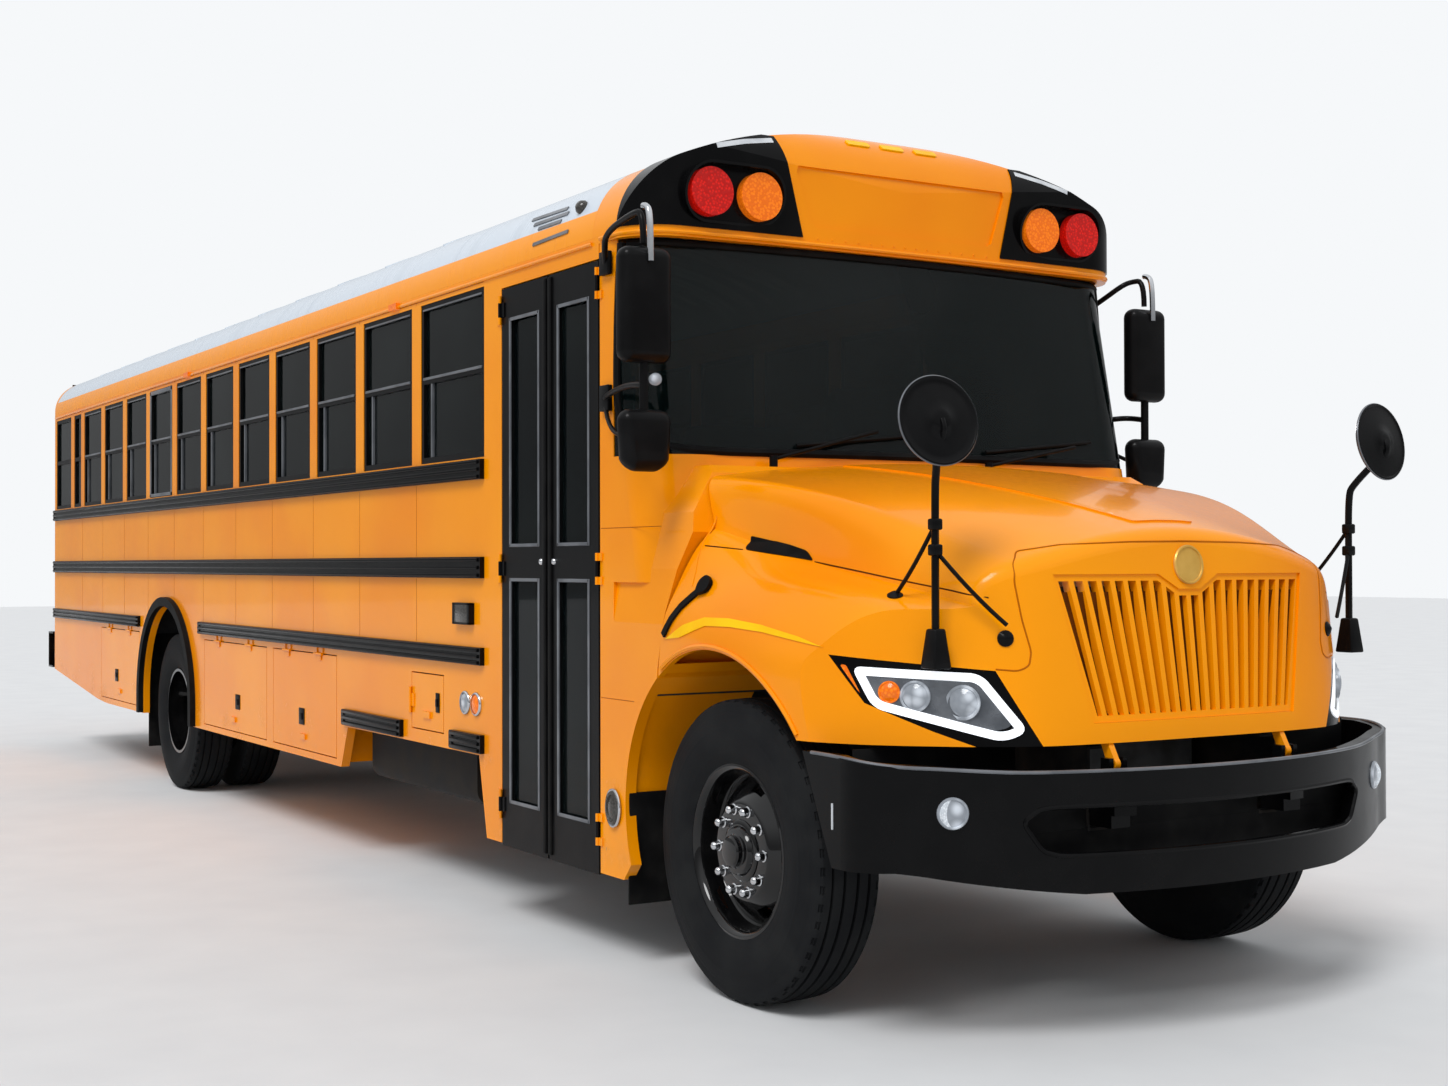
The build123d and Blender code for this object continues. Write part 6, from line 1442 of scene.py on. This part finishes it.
COWL_LAMP = [
    (0.0, -0.004), (0.050, -0.004), (0.053, 0.010), (0.048, 0.018), (0.040, 0.019),
    (0.037, 0.012), (0.020, 0.019), (0.0, 0.021),
]
COWL_X, COWL_Z = 4.197, 0.596
COWL_RIM, COWL_RIM_STEPS = (0.052, 0.069), 30

seams = [
    ((x - SEAM_HALF, SEAM_OUT, low), (x + SEAM_HALF, SEAM_IN, high))
    for x in PILLAR_X[:-1] for low, high in SEAM_HEIGHTS
]
seams.append(((-5.86, SEAM_OUT, 2.747), (2.99, SEAM_IN, 2.750)))
both_sides("panel_seams", seams, "faint_seam", 0.0, 1)
x, z = HOUSING_X, HOUSING_Z
housing = [
    ((x[left], -1.2485, z[low]), (x[right], -1.2195, z[high]))
    for left, right, low, high in ((0, 3, 0, 1), (0, 3, 2, 3), (0, 1, 0, 3), (2, 3, 0, 3))
]
both_sides("turn_housing", housing, "satin_black", 0.002, 1)
turn_lens = [((2.718, -1.2475, 1.258), (2.867, SIDE_Y, 1.342))]
both_sides("turn_lens", turn_lens, "smoke", 0.006)
for name, x, finish, slot in (
    ("side_lamp_amber", 2.911, "amber_lens", "amber_lens"),
    ("side_lamp_clear", 2.791, "projector", "clear_lens"),
):
    for part, outline, part_finish, part_slot in (
        ("right", LAMP_EYE, finish, slot), ("rim", LAMP_RIM, "chrome", "bright_steel")
    ):
        round_part = turned(f"{name}_{part}", outline, (x, SIDE_Y, 0.905), OUTWARD, 32)
        fit(round_part, part_finish, "bus_body", smooth=50)
for body, (x, z, half) in CATCHES.items():
    plate = ((x - half, -1.2245, z - 0.045), (x + half, -1.2195, z + 0.045))
    grip = ((x - half * 0.5, -1.2310, z - 0.018), (x + half * 0.5, -1.2240, z + 0.018))
    fit(bars(f"catch_{body}", [plate, grip], 0.003), "satin_black", body)
cowl_place = (COWL_X, SIDE_Y, COWL_Z)
cowl_lamp = turned("cowl_marker_right", COWL_LAMP, cowl_place, OUTWARD, 36)
bpy.ops.mesh.select_all(action="SELECT")
bpy.ops.transform.resize(value=(1.0, 1.0, 1.3), center_override=cowl_place)
pair(cowl_lamp, "smoke", "bus_body", smooth=50)
rim_points = []
for step in range(COWL_RIM_STEPS):
    turn = 2 * math.pi * step / COWL_RIM_STEPS
    x, z = COWL_X + COWL_RIM[0] * math.cos(turn), COWL_Z + COWL_RIM[1] * math.sin(turn)
    rim_points.append((x, -1.229, z))
cowl_rim = pipe("cowl_marker_rim_right", rim_points, 0.006, closed=True)
pair(cowl_rim, "chrome", "bus_body")
cowl_seams = [
    ((4.085, SEAM_OUT, z - SEAM_HALF), (front, SEAM_IN, z + SEAM_HALF))
    for z, front in ((1.655, 4.56), (1.007, 4.35))
]
both_sides("cowl_seams", cowl_seams, "faint_seam", 0.0, 1)
flap = [((4.272, -1.205, 0.24), (4.282, -0.860, 0.66))]
both_sides("front_flap", flap, "rubber", 0.003)
print("seams, lamps, catches and flaps")

# %% [markdown]
# ## Entrance door
#
# The two leaves fold outwards, and a rubber seal closes the gap between them. Bright
# strips frame the long panes, and each leaf has a small catch by the seal. Every strip
# rides on its own leaf.
# %% Entrance door
PANES = ((0.520, 1.450), (1.600, 2.550))
STRIP_OUT, STRIP_IN = -1.2235, -1.2150
SEAL_OUT, SEAL_IN, SEAL_FOOT, SEAL_HEAD = -1.2300, -1.2180, 0.345, 2.680
KNOB = [(0.0, -0.002), (0.014, -0.002), (0.014, 0.006), (0.009, 0.012), (0.0, 0.014)]
KNOB_Z = 1.528
for leaf, glass, edge, inner in (
    ("door_leaf_rear", "door_glass_rear", 1, -1),
    ("door_leaf_front", "door_glass_front", 0, 1),
):
    x0, x1 = (corner[0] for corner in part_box(glass))
    strips = []
    for low, high in PANES:
        for left, right, foot, head in (
            (x0 - 0.006, x1 + 0.006, low - 0.010, low + 0.004),
            (x0 - 0.006, x1 + 0.006, high - 0.004, high + 0.010),
            (x0 - 0.010, x0 + 0.004, low - 0.010, high + 0.010),
            (x1 - 0.004, x1 + 0.010, low - 0.010, high + 0.010),
        ):
            strips.append(((left, STRIP_OUT, foot), (right, STRIP_IN, head)))
    fit(bars(f"pane_frames_{leaf}", strips, 0.002, 1), "grey_trim_and_highlight", leaf)
    edge_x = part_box(leaf)[edge][0]
    x0, x1 = sorted((edge_x + inner * 0.004, edge_x + inner * 0.030))
    seal_box = ((x0, SEAL_OUT, SEAL_FOOT), (x1, SEAL_IN, SEAL_HEAD))
    seal = bars(f"door_seal_{leaf}", [seal_box], 0.005, 3)
    fit(seal, "rubber", leaf)
    knob_place = (edge_x + inner * 0.052, SIDE_Y, KNOB_Z)
    knob = turned(f"door_catch_{leaf}", KNOB, knob_place, OUTWARD, 18)
    fit(knob, "chrome", leaf, smooth=50)
print("door trim on both leaves")

# %% [markdown]
# ## Bench seats
#
# Twelve rows of benches fill the cabin. Each is a foam cushion and a tall padded back in
# one vinyl cover, full in the middle and pulled in at its seams. A simulation would
# swell it, but the dark glass hides most, so the crown is a smooth curve over a
# subdivided block, the seams are sunk edge rows, and one bench is copied to all places.
# %% Padded benches
ROWS, PITCH, FIRST_BENCH = 12, 0.700, 2.700
SEAT_NEAR, SEAT_FAR = 0.190, 1.150
PAD_CUTS = 11
CHANNEL_HALF, CHANNEL_DEEP = 0.09, 0.006


def pad(name, low, high, crown, channels):
    """A crowned cushion with sunk seams across it, and soft corners."""
    low, high = Vector(low), Vector(high)
    middle, half = (low + high) / 2, (high - low) / 2
    thin = min(half)
    piece = begin("cube", name, size=1.0, location=middle, scale=high - low)
    choose(piece)
    bpy.ops.object.transform_apply(location=True, rotation=True, scale=True)
    bpy.ops.object.mode_set(mode="EDIT")
    bpy.ops.mesh.subdivide(number_cuts=PAD_CUTS)

    def crowned(_, place):
        share = [(place[k] - middle[k]) / half[k] for k in range(3)]
        drawn_in = Vector((0, 0, 0))
        for k in range(3):
            first, second = (share[j] for j in range(3) if j != k)
            sunk = 0.0
            if abs(share[k]) > 0.99 and half[k] == thin:
                for channel in channels:
                    sunk = max(sunk, 1 - abs(first - channel) / CHANNEL_HALF)
            full = (1 - first**4) * (1 - second**4)
            drawn_in[k] = -share[k] * ((1 - full) * crown + sunk * CHANNEL_DEEP)
        return place + drawn_in

    put(piece, crowned)
    modify(piece, "SUBSURF", levels=1, render_levels=1)
    return piece


def upholstered(whole):
    """A seat's cover, which stands for the plain cushions."""
    fit(whole, "vinyl", "bus_body", ["seat_cushions"], smooth=60)
    return whole


right, x = (-SEAT_FAR, -SEAT_NEAR), FIRST_BENCH
first_bench = upholstered(joined("bench_right_0", [
    pad("seat", (x - 0.400, right[0], 1.392), (x, right[1], 1.520), 0.018, ()),
    pad("back", (x - 0.489, right[0], 1.332), (x - 0.402, right[1], 2.230), 0.014, (0.55,)),
]))
for row in range(ROWS):
    for word, across in (("right", 0.0), ("left", SEAT_NEAR + SEAT_FAR)):
        if row == 0 and word == "right":
            continue
        move = Matrix.Translation((-PITCH * row, across, 0))
        other = copied(
            first_bench, f"bench_{word}_{row}", move, "vinyl", "bus_body",
            ["seat_cushions"],
        )
upholstered(joined("driver_seat", [
    pad("driver_cushion", (3.462, 0.312, 1.4815), (3.940, 0.808, 1.600), 0.018, ()),
    pad("driver_back", (3.362, 0.312, 1.562), (3.458, 0.808, 2.330), 0.016, (0.5,)),
]))
print(2 * ROWS, "benches and the driver's seat")

# %% [markdown]
# ## Stop arm, roof bows and brow reflectors
#
# The stop arm is an eight-sided red board with a white edge line on both faces, left
# blank here. The roof's bows show as low hoops, each a pipe through points that rays
# find on the roof. Three small reflectors sit in a row on the cap's brow.
# %% Stop arm and roof
STOP_X, STOP_Z, STOP_FACES = 2.585, 1.500, (1.2635, 1.2805)
STOP_HALF, STOP_LINE = 0.222, 0.016
BOW_HALF, BOW_STEPS = 1.08, 10
ABOVE = 4.0
BROW_Y, BROW_HALF, BROW_LOW, BROW_HIGH = (-0.17, 0.0, 0.17), 0.055, 0.618, 0.652
ON_BROW = ((6.2, 0, 4.2), (0, 1, 0), (-0.7, 0, 0.7))

corner_r = STOP_HALF / math.cos(math.pi / 8)
octagon = []
for number in range(8):
    turn = math.pi / 8 + number * math.pi / 4
    octagon.append((corner_r * math.cos(turn), corner_r * math.sin(turn), 0))
facing = Matrix(((-1, 0, 0), (0, 0, 1), (0, 1, 0))).to_4x4()
edges = []
for side_y in STOP_FACES:
    ring = begin("circle", f"stop_edge_{side_y}", vertices=8, fill_type="NGON")
    put(ring, lambda number, _: octagon[number])
    bpy.ops.mesh.select_all(action="SELECT")
    bpy.ops.mesh.inset(thickness=STOP_LINE, depth=0, use_boundary=True)
    bpy.ops.mesh.delete(type="FACE")
    bpy.ops.object.mode_set(mode="OBJECT")
    ring.matrix_world = Matrix.Translation((STOP_X, side_y, STOP_Z)) @ facing
    modify(ring, "SOLIDIFY", thickness=0.0012, offset=0.0)
    edges.append(ring)
fit(joined("stop_edge", edges), "strip_white", "stop_arm")
bows = []
for x in PILLAR_X[:-1]:
    hoop = []
    for step in range(-BOW_STEPS, BOW_STEPS + 1):
        start = Vector((x, BOW_HALF * step / BOW_STEPS, ABOVE))
        hit, spot, _, _ = nodes["roof"].ray_cast(start, Vector((0, 0, -1)))
        if hit:
            hoop.append(spot)
    bows.append(pipe(f"bow_{x}", hoop, 0.008, 6))
fit(joined("roof_bows", bows), "two_tone", "bus_body")
brows = []
for number, y in enumerate(BROW_Y):
    low, high = (y - BROW_HALF, BROW_LOW), (y + BROW_HALF, BROW_HIGH)
    outline = [low, (high[0], low[1]), high, (low[0], high[1])]
    brows.append(
        laid(f"brow_{number}", "front_cap", outline, ON_BROW, 0.001, 0.006, soft=0.008)
    )
fit(joined("brow_reflectors", brows), "bright_yellow", "bus_body")
print("stop arm's edge,", len(bows), "roof bows and", len(brows), "brow reflectors")

# %% [markdown]
# ## Floor and light
#
# The bus stands on a plain pale floor under one wide soft lamp from the kerb side, and
# a pale surround fills the shadows. Many lamps could be placed, but a car studio's
# trick is simpler: one large soft source and a bright room that the lacquer mirrors.
# The world is paler to the camera and to mirrors than to matt surfaces, so colours
# keep the tone that they were given. In mirrors its walls darken towards the floor.
# %% Floor and light
FLOOR_HALF = 60.0
WORLD_ON_MATT = 0.62
KEY_STRENGTH, KEY_WIDTH = 1.9, math.radians(24)
KEY_AIM = Vector((-0.42, 0.62, -0.95))
WALL_LOW, WALL_HIGH, WALL_TONE = 0.02, 0.55, 0.3

bpy.ops.object.select_all(action="DESELECT")
bpy.ops.mesh.primitive_plane_add(size=2 * FLOOR_HALF, location=(0, 0, 0))
floor_sheet = bpy.context.object
floor_sheet.name = "pale_floor"
concrete = Finish("pale_floor")
grit = concrete.noise(2.5, 8.0)
floor_sheet.data.materials.append(
    concrete.surface(
        Base_Color=concrete.blend(grit, rgb(226, 227, 228), rgb(214, 215, 217)),
        Roughness=0.75 + grit * 0.1,
    )
)

bpy.ops.object.light_add(type="SUN", location=(6, -8, 12))
key_lamp = bpy.context.object
key_lamp.name = "key_lamp"
key_lamp.data.energy = KEY_STRENGTH
key_lamp.data.angle = KEY_WIDTH
key_lamp.rotation_euler = KEY_AIM.to_track_quat("-Z", "Y").to_euler()

world = bpy.data.worlds.new("pale_room")
bpy.context.scene.world = world
world.use_nodes = True
room = Finish("pale_room", world.node_tree)
camera_ray, mirror_ray, through_ray = (
    room.node("LightPath", {}, {}, f"Is {kind} Ray")
    for kind in ("Camera", "Glossy", "Transmission")
)
either = {"operation": "MAXIMUM"}
seen = room.node("Math", either, {0: camera_ray, 1: mirror_ray})
seen = room.node("Math", either, {0: seen, 1: through_ray})
level = room.node("MapRange", {}, {0: seen, 3: WORLD_ON_MATT, 4: 1.0})
outwards = room.node("TexCoord", {}, {}, "Generated")
upward = room.node("SeparateXYZ", {}, {0: outwards}, 2)
wall = room.range(upward, WALL_LOW, WALL_HIGH, WALL_TONE, 1.0)
mirrored_wall = room.node("Mix", {}, {0: mirror_ray, 2: 1.0, 3: wall})
light = {"Color": rgb(246, 248, 250), "Strength": level * mirrored_wall}
room.node("OutputWorld", {}, {"Surface": room.node("Background", {}, light)})
bpy.context.scene.view_settings.view_transform = "Standard"
print("floor, key lamp and pale room;", len(made), "pieces were made")
